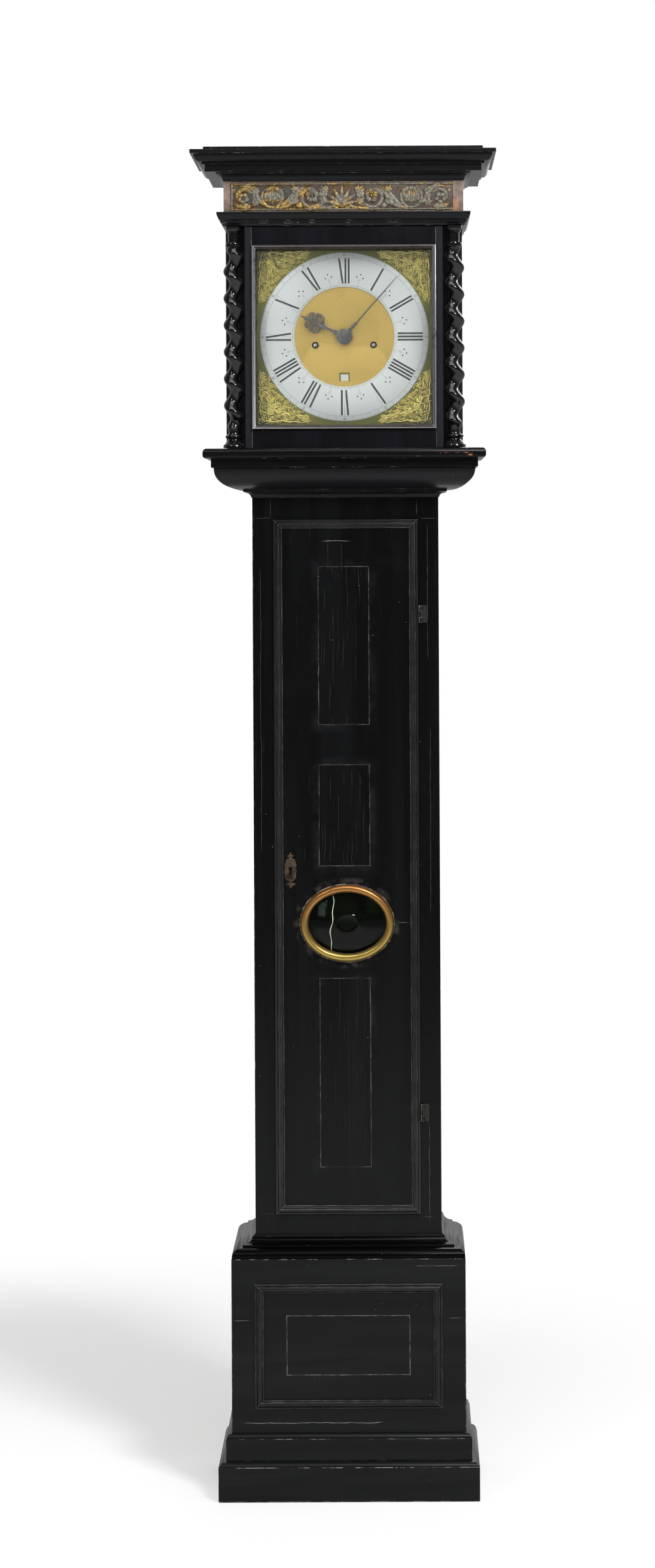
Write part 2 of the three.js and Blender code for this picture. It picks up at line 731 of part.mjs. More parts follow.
// Leaf on the trunk's stile with the middle knuckle.
function hingeStileLeaf(footZ) {
  const third = hingeHeight / 3;
  const leaf = box(doorPinX + 1.2, doorPinX + 1.2 + hingeLeafWidth, trunkFrontY - seam - hingeLeaf,
    trunkFrontY - seam, footZ, footZ + hingeHeight);
  const low = footZ + third + runningGap / 2;
  const high = footZ + 2 * third - runningGap / 2;
  const knuckle = rodZ(hingeKnuckleRadius, doorPinX, doorPinY, low, high);
  const web = box(doorPinX + 1.2, doorPinX + 1.2 + hingeLeaf, doorPinY, trunkFrontY - seam, low, high);
  return joined(leaf, web, knuckle);
}

// Leaf on the edge of the door's moulding with the two outer knuckles on one pin.
function hingeDoorLeaf(footZ) {
  const third = hingeHeight / 3;
  const leafX = doorWidth / 2 + seam;
  const leaf = box(leafX, doorPinX - hingeKnuckleRadius - seam, doorPinY - 3,
    trunkFrontY - seam - hingeLeaf, footZ, footZ + hingeHeight);
  const lowTop = footZ + third - runningGap / 2;
  const highFoot = footZ + 2 * third + runningGap / 2;
  const topZ = footZ + hingeHeight;
  return joined(
    leaf,
    rodZ(hingeKnuckleRadius, doorPinX, doorPinY, footZ, lowTop),
    rodZ(hingeKnuckleRadius, doorPinX, doorPinY, highFoot, topZ),
    box(leafX, doorPinX, doorPinY - 1, doorPinY + 1, footZ, lowTop),
    box(leafX, doorPinX, doorPinY - 1, doorPinY + 1, highFoot, topZ),
  );
}

// Hood

// Frame that slides on the throat moulding, open at the back.
function hoodBase() {
  const lipZ = hoodFloorZ + hoodFasciaHeight;
  const round = hoodLipRound;
  const lip = hoodLipProjection;
  const profile = [
    [slideGap, hoodFloorZ], [hoodFasciaProjection, hoodFloorZ], [hoodFasciaProjection, lipZ],
    [lip - round, lipZ], [lip - round * 0.3, lipZ + round * 0.3], [lip, lipZ + round],
    [lip, hoodSillZ - round * 1.4], [lip - round * 0.3, hoodSillZ - round * 0.5],
    [lip - round * 1.2, hoodSillZ], [slideGap, hoodSillZ],
  ];
  const frame = threeSided(profile, trunkWidth / 2, trunkFrontY, backPlaneY);
  const socket = rodZ(hoodPivotRadius + runningGap, hoodPivotX, hoodPivotY,
    hoodSillZ - hoodPivotLength, hoodSillZ + 1);
  return cut(frame, socket);
}

const hoodWindowMiddleY = (hoodBodyFrontY + backPlaneY) / 2;

function hoodSide(side) {
  const outer = side * hoodWidth / 2;
  const inner = side * (hoodWidth / 2 - hoodBoard);
  const low = Math.min(outer, inner);
  const high = Math.max(outer, inner);
  const board = box(low, high, hoodBodyFrontY, backPlaneY, hoodSillZ + seam, hoodHeadZ - seam);
  const opening = box(low - 1, high + 1, hoodWindowMiddleY - hoodWindowDepth / 2,
    hoodWindowMiddleY + hoodWindowDepth / 2, hoodMiddleZ - hoodWindowHeight / 2,
    hoodMiddleZ + hoodWindowHeight / 2);
  return cut(board, opening);
}

function hoodSideGlass(side) {
  const middle = side * (hoodWidth / 2 - hoodBoard / 2);
  const halfDepth = hoodWindowDepth / 2 - seam;
  const halfHeight = hoodWindowHeight / 2 - seam;
  return box(middle - hoodWindowGlass / 2, middle + hoodWindowGlass / 2, hoodWindowMiddleY - halfDepth,
    hoodWindowMiddleY + halfDepth, hoodMiddleZ - halfHeight, hoodMiddleZ + halfHeight);
}

// Board behind the door that hides the edge of the dial.
function hoodMask() {
  const half = hoodWidth / 2 - hoodBoard - seam;
  const shape = shapeOf(rectangle(-half, half, hoodSillZ + seam, hoodHeadZ - seam));
  const open = dialSize / 2 - 1.5;
  const opening = rectangle(-open, open, dialZ - open, dialZ + open);
  shape.holes.push(new THREE.Path(opening.map(([x, z]) => new THREE.Vector2(x, z))));
  return plate(shape, hoodBodyFrontY, hoodBodyFrontY + hoodMaskBoard);
}

function architrave() {
  const rise = architraveHeight / 5;
  const z = hoodHeadZ;
  const reach = architraveHead - architraveFoot;
  const out = (share) => architraveFoot + reach * share;
  const profile = [
    [-hoodBoard, z], [architraveFoot - 1, z], [out(0), z + rise * 0.3], [out(0.1), z + rise],
    [out(0.28), z + rise * 1.1], [out(0.36), z + rise * 2], [out(0.55), z + rise * 2.2],
    [out(0.7), z + rise * 3.2], [out(0.92), z + rise * 3.8], [out(1), z + rise * 4.1],
    [out(1), z + architraveHeight - seam], [-hoodBoard, z + architraveHeight - seam],
  ];
  const frame = threeSided(profile, hoodWidth / 2, hoodFrontY, backPlaneY);
  const socket = rodZ(hoodPivotRadius + runningGap, hoodPivotX, hoodPivotY, z - 1, z + hoodPivotLength);
  return cut(frame, socket);
}

// Plain frieze round three sides with a raised field on the front for the carving.
function friezeBand() {
  const footZ = architraveTopZ;
  const topZ = friezeTopZ - seam;
  const profile = [
    [-hoodBoard, footZ], [friezeProjection, footZ], [friezeProjection, topZ], [-hoodBoard, topZ],
  ];
  const faceY = hoodFrontY - friezeProjection;
  const middleZ = (footZ + topZ) / 2;
  const field = box(-friezeFieldWidth / 2, friezeFieldWidth / 2, faceY - friezeFieldProud, faceY + 1,
    middleZ - friezeFieldHeight / 2, middleZ + friezeFieldHeight / 2);
  return joined(threeSided(profile, hoodWidth / 2, hoodFrontY, backPlaneY), field);
}

function cornice() {
  const z = friezeTopZ;
  const coveTopZ = z + corniceHeight * 0.24;
  const soffitZ = coveTopZ + 1.6;
  const fasciaTopZ = z + corniceHeight * 0.51;
  const filletTopZ = z + corniceHeight * 0.58;
  const ovoloTopZ = z + corniceHeight * 0.86;
  const topZ = corniceTopZ - seam;
  const profile = [
    [-hoodBoard, z], [friezeProjection + 0.6, z],
    ...arc(corniceCove, z, corniceCove - friezeProjection - 1.4, coveTopZ - z, 170, 95, 5),
    [corniceCove, soffitZ], [corniceFascia, soffitZ], [corniceFascia, fasciaTopZ],
    [corniceFillet, fasciaTopZ], [corniceFillet, filletTopZ],
    ...arc(corniceFillet + 0.6, ovoloTopZ, corniceOvolo - corniceFillet - 0.6, ovoloTopZ - filletTopZ,
      275, 360, 6),
    [corniceProjection, ovoloTopZ], [corniceProjection, topZ], [-hoodBoard, topZ],
  ];
  return threeSided(profile, hoodWidth / 2, hoodFrontY, backPlaneY);
}

function topBoard() {
  const half = hoodWidth / 2 + topBoardProjection;
  return box(-half, half, hoodFrontY - topBoardProjection, backPlaneY, corniceTopZ,
    corniceTopZ + topBoardThickness);
}

// Hood door

const hoodDoorFootZ = hoodSillZ + hoodDoorPlay;
const hoodDoorTopZ = hoodHeadZ - hoodDoorPlay;
const hoodGlassY = hoodDoorBackY - hoodGlassInset;

// Frame with a rebate for the glass, corner recesses for the columns and its two pivots.
function hoodDoorFrame() {
  const half = hoodWidth / 2;
  const open = hoodOpening / 2 + 1;
  const rebate = open + hoodRebate;
  const chamfer = 1.3;
  const plan = [
    [-half, hoodFrontY], [half, hoodFrontY], [half, hoodDoorBackY - chamfer],
    [half - chamfer, hoodDoorBackY], [-half, hoodDoorBackY],
  ];
  const levels = [hoodDoorFootZ, hoodDoorTopZ];
  const rings = levels.map((z) => plan.map(([x, y]) => [x, y, z]));
  const body = ringSolid(rings, plan.map(([x, y]) => new THREE.Vector2(x, y)));
  const recessX = columnX - columnFootRadius - seam;
  const recessY = hoodFrontY + columnFootRadius + seam;
  const holes = [
    box(-open, open, hoodFrontY - 1, hoodDoorBackY + 1, hoodMiddleZ - open, hoodMiddleZ + open),
    box(-rebate, rebate, hoodGlassY - hoodGlass - seam, hoodDoorBackY + 1, hoodMiddleZ - rebate,
      hoodMiddleZ + rebate),
    box(recessX, half + 1, hoodFrontY - 1, recessY, hoodDoorFootZ - 1, hoodDoorTopZ + 1),
    box(-half - 1, -recessX, hoodFrontY - 1, recessY, hoodDoorFootZ - 1, hoodDoorTopZ + 1),
  ];
  const pivots = [
    rodZ(hoodPivotRadius, hoodPivotX, hoodPivotY, hoodSillZ - hoodPivotLength + 1, hoodDoorFootZ + 1),
    rodZ(hoodPivotRadius, hoodPivotX, hoodPivotY, hoodDoorTopZ - 1, hoodHeadZ + hoodPivotLength - 1),
  ];
  return joined(cut(body, ...holes), ...pivots);
}

function hoodDoorMoulding() {
  const wide = hoodMouldingWidth;
  const proud = hoodMouldingProud;
  const profile = [
    [wide, seam], [wide, proud * 0.6], [wide * 0.8, proud * 0.95], [wide * 0.6, proud],
    [wide * 0.45, proud * 0.7], [wide * 0.2, proud * 0.55], [0, proud * 0.3], [0, seam],
  ];
  const half = hoodOpening / 2;
  return mitredFrame(profile, half, half, hoodMiddleZ, hoodFrontY);
}

function hoodDoorGlass() {
  const half = hoodOpening / 2 + 1 + hoodRebate - seam;
  return box(-half, half, hoodGlassY - hoodGlass, hoodGlassY, hoodMiddleZ - half, hoodMiddleZ + half);
}

// Single-start twist between a turned foot and a turned head.
function twistColumn(x, startTurn) {
  const footZ = hoodDoorFootZ;
  const topZ = hoodDoorTopZ;
  const foot = [
    [columnFootRadius, 0], [columnFootRadius, 4.5], [12.8, 9.5], [10, 12], [10, 14.5], [13.7, 16.6],
    [13.7, 19], [9.6, 21.5], [8.6, 26], [columnRadius - 1, columnFoot],
  ];
  const head = [
    [9.8, columnHead], [12.4, 31.6], [12.4, 25.6], [8.5, 24.4], [8.5, 10.4], [10.2, 9.4], [10.2, 8],
    [12.4, 4], [12.4, 0],
  ];
  const rings = [];
  const addRing = (radius, centreX, centreY, z) => {
    const ring = [];
    for (let i = 0; i < columnSides; i++) {
      const angle = i * 2 * Math.PI / columnSides;
      ring.push([centreX + radius * Math.cos(angle), centreY + radius * Math.sin(angle), z]);
    }
    rings.push(ring);
  };
  foot.forEach(([radius, rise]) => addRing(radius, x, hoodFrontY, footZ + rise));
  const twistFoot = footZ + columnFoot;
  const twistTop = topZ - columnHead;
  const count = Math.round((twistTop - twistFoot) / columnPitch * columnSteps);
  for (let i = 1; i < count; i++) {
    const z = twistFoot + (twistTop - twistFoot) * i / count;
    const fade = Math.min(1, (z - twistFoot) / (columnPitch / 4), (twistTop - z) / (columnPitch / 4));
    const angle = 2 * Math.PI * (startTurn + (twistTop - z) / columnPitch);
    const offset = columnOffset * fade;
    addRing(columnRadius - 1 + fade, x + offset * Math.cos(angle), hoodFrontY + offset * Math.sin(angle), z);
  }
  head.forEach(([radius, drop]) => addRing(radius, x, hoodFrontY, topZ - drop));
  return ringSolid(rings, rings[0].map(([u, v]) => new THREE.Vector2(u, v)));
}

// Dial

function dialPlate() {
  const half = dialSize / 2;
  const shape = shapeOf(rectangle(-half, half, dialZ - half, dialZ + half));
  shape.holes.push(circleHole(0, dialZ, hourPipeRadius + runningGap));
  shape.holes.push(circleHole(-windingSpread, barrelZ, windingHole));
  shape.holes.push(circleHole(windingSpread, barrelZ, windingHole));
  const date = dateAperture / 2;
  const opening = rectangle(-date, date, dialZ - dateDrop - date, dialZ - dateDrop + date);
  shape.holes.push(new THREE.Path(opening.map(([x, z]) => new THREE.Vector2(x, z))));
  const feet = [[-1, -1], [1, -1], [1, 1], [-1, 1]].map(([sx, sz]) => rodY(dialFootRadius,
    sx * dialFootSpread, dialZ + sz * dialFootSpread, dialBackY - 1, frontPlateY - seam, 10));
  return joined(plate(shape, dialFrontY, dialBackY), ...feet);
}

function chapterRing() {
  const shape = shapeOf(arc(0, dialZ, chapterOuter, chapterOuter, 0, 352.5, 47));
  shape.holes.push(circleHole(0, dialZ, chapterInner, 48));
  return plate(shape, dialFrontY - seam - chapterThickness, dialFrontY - seam);
}

// Pierced corner ornament between the chapter ring and the corner of the dial.
function spandrel(signX, signZ) {
  const ringEdge = chapterOuter + 1.5;
  const start = spandrelEdge - spandrelReach;
  const outer = [];
  const lobes = 5;
  for (let i = 0; i <= lobes * 2; i++) {
    const along = start + spandrelReach * i / (lobes * 2);
    outer.push([along, spandrelEdge - (i % 2 === 0 ? 3.2 : 0)]);
  }
  outer[outer.length - 1] = [spandrelEdge - 1.5, spandrelEdge - 1.5];
  const side = outer.slice(0, -1).reverse().map(([u, v]) => [v, u]);
  const inner = [];
  const startAngle = Math.asin(Math.min(1, start / ringEdge));
  const steps = 12;
  for (let i = 0; i <= steps; i++) {
    const angle = startAngle + (Math.PI / 2 - 2 * startAngle) * i / steps;
    const radius = ringEdge + (i % 2 === 0 ? 0 : 2);
    inner.push([radius * Math.cos(angle), radius * Math.sin(angle)]);
  }
  const outline = [...outer, ...side, ...inner];
  const place = ([u, v]) => [signX * u, dialZ + signZ * v];
  const shape = shapeOf(outline.map(place));
  for (const [u, v, radius] of [[0.84, 0.84, 4], [0.9, 0.72, 3], [0.72, 0.9, 3], [0.95, 0.6, 2.2],
    [0.6, 0.95, 2.2]]) {
    const [x, z] = place([u * spandrelEdge, v * spandrelEdge]);
    shape.holes.push(circleHole(x, z, radius, 8));
  }
  return plate(shape, dialFrontY - seam - spandrelThickness, dialFrontY - seam);
}

// Ring of dates behind the dial.
function dateRing() {
  const outer = dateDrop + dateRingWidth / 2;
  const inner = dateDrop - dateRingWidth / 2;
  const shape = shapeOf(arc(0, dialZ, outer, outer, 0, 350, 35));
  shape.holes.push(circleHole(0, dialZ, inner, 36));
  return plate(shape, dialBackY + seam, dialBackY + seam + dateRingThickness);
}

function mirrored(points) {
  return [...points, ...points.slice(1, -1).reverse().map(([x, z]) => [-x, z])];
}

// Hour hand with a pierced rosette, on the pipe that carries it.
function hourHand() {
  const r = hourTip;
  const half = [
    [0, -11], [8, -9], [11.5, 0], [9, 9], [4, 14], [2.6, r * 0.3], [5, r * 0.38], [12, r * 0.46],
    [16.5, r * 0.58], [14.5, r * 0.68], [9.5, r * 0.74], [7.5, r * 0.8], [3.2, r * 0.86], [1.6, r * 0.93],
    [0, r],
  ];
  const shape = shapeOf(mirrored(half).map(([x, z]) => [x, z + dialZ]));
  for (const [x, share, radius] of [[0, 0.49, 3.2], [-7.6, 0.58, 4], [7.6, 0.58, 4], [0, 0.68, 3.6]]) {
    shape.holes.push(circleHole(x, dialZ + r * share, radius, 10));
  }
  const backY = dialFrontY - hourForward;
  const pipeEndY = frontPlateY - 5;
  const pipe = cut(rodY(hourPipeRadius, 0, dialZ, backY - handThickness, pipeEndY, 20),
    rodY(arborRadius + runningGap, 0, dialZ, backY - handThickness - 1, pipeEndY + 1, 20));
  const blade = cut(plate(shape, backY - handThickness, backY),
    rodY(arborRadius + runningGap, 0, dialZ, backY - handThickness - 1, backY + 1, 20));
  return turnedByClock(joined(blade, pipe), hourAngle);
}

// Long slim hand on the arbor that turns once an hour.
function minuteHand() {
  const r = minuteTip;
  const half = [
    [0, -13], [5, -11], [7.5, 0], [5, 9], [2.4, 13], [2, r * 0.2], [4.6, r * 0.25], [5.6, r * 0.3],
    [3.4, r * 0.35], [2, r * 0.4], [1.6, r * 0.7], [1.1, r * 0.95], [0, r],
  ];
  const shape = shapeOf(mirrored(half).map(([x, z]) => [x, z + dialZ]));
  const backY = dialFrontY - minuteForward;
  const arbor = rodY(arborRadius, 0, dialZ, backY - handThickness - 2, backPlateY - seam, 20);
  const collet = rodY(4.6, 0, dialZ, backY - handThickness - 1.2, backY - 0.5, 16);
  return turnedByClock(joined(plate(shape, backY - handThickness, backY), arbor, collet), minuteAngle);
}

// Movement

function pillarPlaces() {
  const x = plateWidth / 2 - pillarInset;
  return [[-x, plateFootZ + pillarInset], [x, plateFootZ + pillarInset],
    [x, plateTopZ - pillarInset], [-x, plateTopZ - pillarInset]];
}

// Two plates riveted on four pillars, with the cock that the pendulum hangs from.
function movementFrame() {
  const half = plateWidth / 2;
  const outline = rectangle(-half, half, plateFootZ, plateTopZ);
  const front = shapeOf(outline);
  front.holes.push(circleHole(0, dialZ, arborRadius + runningGap, 12));
  front.holes.push(circleHole(-windingSpread, barrelZ, barrelArbor + runningGap, 12));
  front.holes.push(circleHole(windingSpread, barrelZ, barrelArbor + runningGap, 12));
  const back = shapeOf(outline);
  back.holes.push(circleHole(0, suspensionZ, 4.5, 12));
  const pillars = pillarPlaces().map(([x, z]) => rodY(pillarRadius, x, z, frontPlateBackY - 1,
    backPlateY + 1, 10));
  const cock = box(-cockWidth / 2, cockWidth / 2, backPlateBackY - 1, pendulumY + 6,
    cockFootZ, cockFootZ + cockHeight);
  const cockFoot = box(-cockWidth / 2, cockWidth / 2, backPlateBackY - 1, backPlateBackY + 4,
    cockFootZ, Math.max(plateTopZ, cockFootZ + cockHeight));
  return joined(plate(front, frontPlateY, frontPlateBackY), plate(back, backPlateY, backPlateBackY),
    ...pillars, cock, cockFoot);
}

// Board across the trunk's sides, slotted for the lines.
function seatboard() {
  const half = trunkWidth / 2;
  const board = box(-half, half, dialBackY + seatFrontGap, pendulumY - pendulumRodRadius - seatBackGap,
    seatFootZ, seatTopZ);
  const slots = [-1, 1].map((side) => {
    const x = side * windingSpread - lineReach;
    return box(x - lineSlotWidth / 2, x + lineSlotWidth / 2, barrelY - lineSlotLength / 2,
      barrelY + lineSlotLength / 2, seatFootZ - 1, seatTopZ + 1);
  });
  const knotHoles = [-1, 1].map((side) => rodZ(lineRadius + runningGap, side * windingSpread + lineReach,
    barrelY, seatFootZ - 1, seatTopZ + 1));
  return cut(board, ...slots, ...knotHoles);
}

// Drum, great wheel and winding arbor in one.
function barrel(side) {
  const x = side * windingSpread;
  const frontY = barrelY - barrelLength / 2;
  const rearY = barrelY + barrelLength / 2;
  const wheelRearY = rearY + 2 + greatWheelThickness;
  const profile = [
    [0, dialFrontY - 1.5], [barrelArbor, dialFrontY - 1.5], [barrelArbor, frontY - 2],
    [barrelRadius + 3, frontY - 2], [barrelRadius + 3, frontY], [barrelRadius, frontY],
    [barrelRadius, rearY], [barrelRadius + 3, rearY], [barrelRadius + 3, rearY + 2],
    [greatWheelRadius, rearY + 2], [greatWheelRadius, wheelRearY], [barrelArbor, wheelRearY],
    [barrelArbor, backPlateY - seam], [0, backPlateY - seam],
  ];
  return turnedY(profile, x, 0, barrelZ, 18);
}

// Toothed wheel on its arbor between the plates.
function escapeWheel() {
  const z = dialZ + escapeRise;
  const points = [];
  for (let i = 0; i < escapeTeeth; i++) {
    const step = 360 / escapeTeeth;
    const tip = THREE.MathUtils.degToRad(i * step);
    const root = THREE.MathUtils.degToRad(i * step + step * 0.25);
    points.push([escapeRadius * Math.cos(tip), z + escapeRadius * Math.sin(tip)]);
    points.push([escapeRadius * 0.86 * Math.cos(root), z + escapeRadius * 0.86 * Math.sin(root)]);
  }
  const shape = shapeOf(points);
  for (let i = 0; i < 4; i++) {
    const angle = Math.PI / 4 + i * Math.PI / 2;
    const out = escapeRadius * 0.5;
    shape.holes.push(circleHole(out * Math.cos(angle), z + out * Math.sin(angle), escapeRadius * 0.24, 8));
  }
  const arbor = rodY(1.8, 0, z, frontPlateBackY + seam, backPlateY - seam, 10);
  return joined(plate(shape, escapeY - 1, escapeY + 1), arbor);
}

// Recoil anchor over the wheel, with its arbor and the crutch that embraces the pendulum rod.
function anchor() {
  const wheelZ = dialZ + escapeRise;
  const inner = escapeRadius + 2.8;
  const outer = inner + anchorArm;
  const top = arc(0, wheelZ, outer, outer, 90 - anchorSpan, 90 + anchorSpan, 8);
  const under = arc(0, wheelZ, inner, inner, 90 + anchorSpan, 90 - anchorSpan, 8);
  const arms = plate(shapeOf([...top, ...under]), escapeY - anchorThickness / 2, escapeY + anchorThickness / 2);
  const stemWide = 3.5;
  const stem = box(-stemWide, stemWide, escapeY - anchorThickness / 2, escapeY + anchorThickness / 2,
    wheelZ + inner + 1, suspensionZ);
  const arbor = rodY(arborRadius, 0, suspensionZ, frontPlateBackY + seam, backPlateBackY + 9, 12);
  const crutchY = backPlateBackY + 5;
  const crutchFootZ = suspensionZ - crutchLength;
  const crutch = box(-2, 2, crutchY, crutchY + 3, crutchFootZ, suspensionZ);
  const prong = pendulumRodRadius + 0.7;
  const yoke = box(-prong - 2.5, prong + 2.5, crutchY, crutchY + 3, crutchFootZ - 1, crutchFootZ + 3);
  const prongs = [-1, 1].map((side) => box(Math.min(side * prong, side * (prong + 2.5)),
    Math.max(side * prong, side * (prong + 2.5)), crutchY, pendulumY + 5, crutchFootZ - 1, crutchFootZ + 3));
  return joined(arms, stem, arbor, crutch, yoke, ...prongs);
}

// Bell with the iron stand that holds it from inside, on the back plate.
function bell() {
  const mouthZ = plateTopZ + bellRise;
  const middleY = (frontPlateBackY + backPlateY) / 2 - 4;
  const sides = 18;
  const section = [
    ...arc(0, 0, bellRadius, bellHeight, 0, 84, 4),
    ...arc(0, 0, bellRadius - bellWall, bellHeight - bellWall, 84, 0, 4),
  ];
  const rings = [];
  for (let i = 0; i < sides; i++) {
    const angle = i * 2 * Math.PI / sides;
    rings.push(section.map(([radius, height]) => [
      bellSide + radius * Math.cos(angle), middleY + radius * Math.sin(angle), mouthZ + height,
    ]));
  }
  const crown = rodZ(bellRadius * 0.16, bellSide, middleY, mouthZ + bellHeight - bellWall * 1.2,
    mouthZ + bellHeight + 1, 10);
  const postY = backPlateBackY + seam;
  const post = box(bellSide - 4, bellSide + 4, postY, postY + 3, plateTopZ - 30, mouthZ - 1);
  const arm = box(bellSide - 4, bellSide + 4, middleY - 4, postY + 3, mouthZ - 6, mouthZ - 2);
  const stem = rodZ(3, bellSide, middleY, mouthZ - 5, mouthZ + bellHeight - bellWall / 2, 10);
  return joined(ringSolid(rings, null), crown, post, arm, stem);
}

// Pendulum

function pendulumRod() {
  const springFootZ = suspensionZ - suspensionLength;
  const footZ = bobZ - bobRadius - 14;
  const spring = box(-3, 3, pendulumY - 0.6, pendulumY + 0.6, springFootZ - 1, cockFootZ - seam);
  const block = box(-5, 5, pendulumY - 3, pendulumY + 3, springFootZ - 10, springFootZ);
  const rod = rodZ(pendulumRodRadius, 0, pendulumY, footZ, springFootZ - 5, 10);
  const nut = rodZ(7, 0, pendulumY, bobZ - bobRadius - 8, bobZ - bobRadius - 2, 12);
  return joined(spring, block, rod, nut);
}

function pendulumBob() {
  const half = bobThickness / 2;
  const profile = [
    [0, -half], [bobRadius * 0.4, -half * 0.86], [bobRadius * 0.75, -half * 0.48], [bobRadius, -1.2],
    [bobRadius, 1.2], [bobRadius * 0.75, half * 0.48], [bobRadius * 0.4, half * 0.86], [0, half],
  ];
  return cut(turnedY(profile, 0, pendulumY, bobZ, 28),
    rodZ(pendulumRodRadius + seam, 0, pendulumY, bobZ - bobRadius - 5, bobZ + bobRadius + 5, 10));
}

// Weights

function weight(side, drop) {
  const x = side * windingSpread;
  const topZ = seatFootZ - drop;
  const footZ = topZ - weightHeight;
  const r = weightRadius;
  const body = turnedZ([
    [0, 0], [r - 4, 0], [r, 4], [r, weightHeight - 6], [r - 5, weightHeight], [0, weightHeight],
  ], x, barrelY, footZ, 18);
  const pulleyZ = topZ + pulleyRise;
  const cheekGap = lineRadius + 2.4;
  const cheeks = [-1, 1].map((face) => box(x - 6, x + 6, Math.min(face * cheekGap, face * (cheekGap + 2))
    + barrelY, Math.max(face * cheekGap, face * (cheekGap + 2)) + barrelY, topZ + 3, pulleyZ + 9));
  const bar = box(x - 6, x + 6, barrelY - cheekGap - 2, barrelY + cheekGap + 2, topZ + 2, topZ + 7);
  const stem = rodZ(3.5, x, barrelY, topZ - 1, topZ + 4, 10);
  const pin = rodY(2.5, x, pulleyZ, barrelY - cheekGap - 3, barrelY + cheekGap + 3, 10);
  const wheel = rodY(barrelRadius, x, pulleyZ, barrelY - pulleyThickness / 2,
    barrelY + pulleyThickness / 2, 20);
  return joined(body, stem, bar, ...cheeks, pin, wheel);
}

// One gut line: from its knot on the seat board, under the pulley and up beside the barrel.
function weightLine(side, drop) {
  const x = side * windingSpread;
  const pulleyZ = seatFootZ - drop + pulleyRise;
  const knotZ = seatTopZ + seam;
  const path = [
    [lineReach, knotZ + knotRadius * 1.6, 1, 0, lineRadius],
    [lineReach, knotZ + knotRadius * 1.2, 1, 0, knotRadius],
    [lineReach, knotZ + knotRadius * 0.3, 1, 0, knotRadius],
    [lineReach, knotZ, 1, 0, lineRadius],
  ];
  const steps = 10;
  for (let i = 0; i <= steps; i++) {
    const angle = -Math.PI * i / steps;
    const [normalU, normalV] = [Math.cos(angle), Math.sin(angle)];
    path.push([lineReach * normalU, pulleyZ + lineReach * normalV, normalU, normalV, lineRadius]);
  }
  path.push([-lineReach, barrelZ, -1, 0, lineRadius]);
  const sides = 6;
  const turn = (i) => [Math.cos(i * 2 * Math.PI / sides), Math.sin(i * 2 * Math.PI / sides)];
  const rings = path.map(([u, v, normalU, normalV, radius]) => {
    const ring = [];
    for (let i = 0; i < sides; i++) {
      const [out, across] = turn(i);
      ring.push([x + u + radius * out * normalU, barrelY + radius * across, v + radius * out * normalV]);
    }
    return ring;
  });
  const outline = [];
  for (let i = 0; i < sides; i++) {
    outline.push(new THREE.Vector2(...turn(i)));
  }
  return ringSolid(rings, outline);
}

// The whole clock

add("backboard", backboard(), oak);
add("base_left_side", baseSide(-1), ebonyWorn);
add("base_right_side", baseSide(1), ebonyWorn);
add("base_front", baseFront(), ebonyWorn);
add("base_panel_moulding", basePanelMoulding(), ebonyWorn);
add("plinth_lower", plinthLower(), ebonyWorn);
add("plinth_upper", plinthUpper(), ebonyWorn);
add("waist_moulding", waistMoulding(), ebonyWorn);
add("trunk_left_side", trunkSide(-1), ebony);
add("trunk_right_side", trunkSide(1), ebony);
add("trunk_front_frame", trunkFrontFrame(), ebony);
add("throat_moulding", throatMoulding(), ebony);
add("seatboard", seatboard(), oak);

add("trunk_door_board", trunkDoorBoard(), ebony);
add("trunk_door_moulding", trunkDoorMoulding(), ebony);
add("lenticle_ring", lenticleRing(), brass);
add("lenticle_glass", lenticleGlassPane(), greenGlass);
add("escutcheon", escutcheon(), brass);
add("lock_case", lockCase(), steel);
add("lock_bolt", lockBolt(), steel);
const upperHingeZ = doorTopZ - hingeDrop - hingeHeight;
const lowerHingeZ = doorFootZ + hingeRise;
add("door_hinge_upper_stile_leaf", hingeStileLeaf(upperHingeZ), brass);
add("door_hinge_upper_door_leaf", hingeDoorLeaf(upperHingeZ), brass);
add("door_hinge_lower_stile_leaf", hingeStileLeaf(lowerHingeZ), brass);
add("door_hinge_lower_door_leaf", hingeDoorLeaf(lowerHingeZ), brass);

add("hood_base", hoodBase(), ebony);
add("hood_left_side", hoodSide(-1), ebony);
add("hood_right_side", hoodSide(1), ebony);
add("hood_left_glass", hoodSideGlass(-1), clearGlass);
add("hood_right_glass", hoodSideGlass(1), clearGlass);
add("hood_mask", hoodMask(), ebony);
add("architrave", architrave(), ebony);
add("frieze", friezeBand(), frieze);
add("cornice", cornice(), ebony);
add("top_board", topBoard(), ebony);

add("hood_door_frame", hoodDoorFrame(), ebony);
add("hood_door_moulding", hoodDoorMoulding(), silvered);
add("hood_door_glass", hoodDoorGlass(), clearGlass);
add("column_left", twistColumn(-columnX, leftTurn), ebony);
add("column_right", twistColumn(columnX, rightTurn), ebony);

add("dial_plate", dialPlate(), dialBrass);
add("chapter_ring", chapterRing(), silvered);
add("spandrel_upper_left", spandrel(-1, 1), gilt);
add("spandrel_upper_right", spandrel(1, 1), gilt);
add("spandrel_lower_left", spandrel(-1, -1), gilt);
add("spandrel_lower_right", spandrel(1, -1), gilt);
add("date_ring", dateRing(), silvered);
add("hour_hand", hourHand(), blued);
add("minute_hand", minuteHand(), blued);

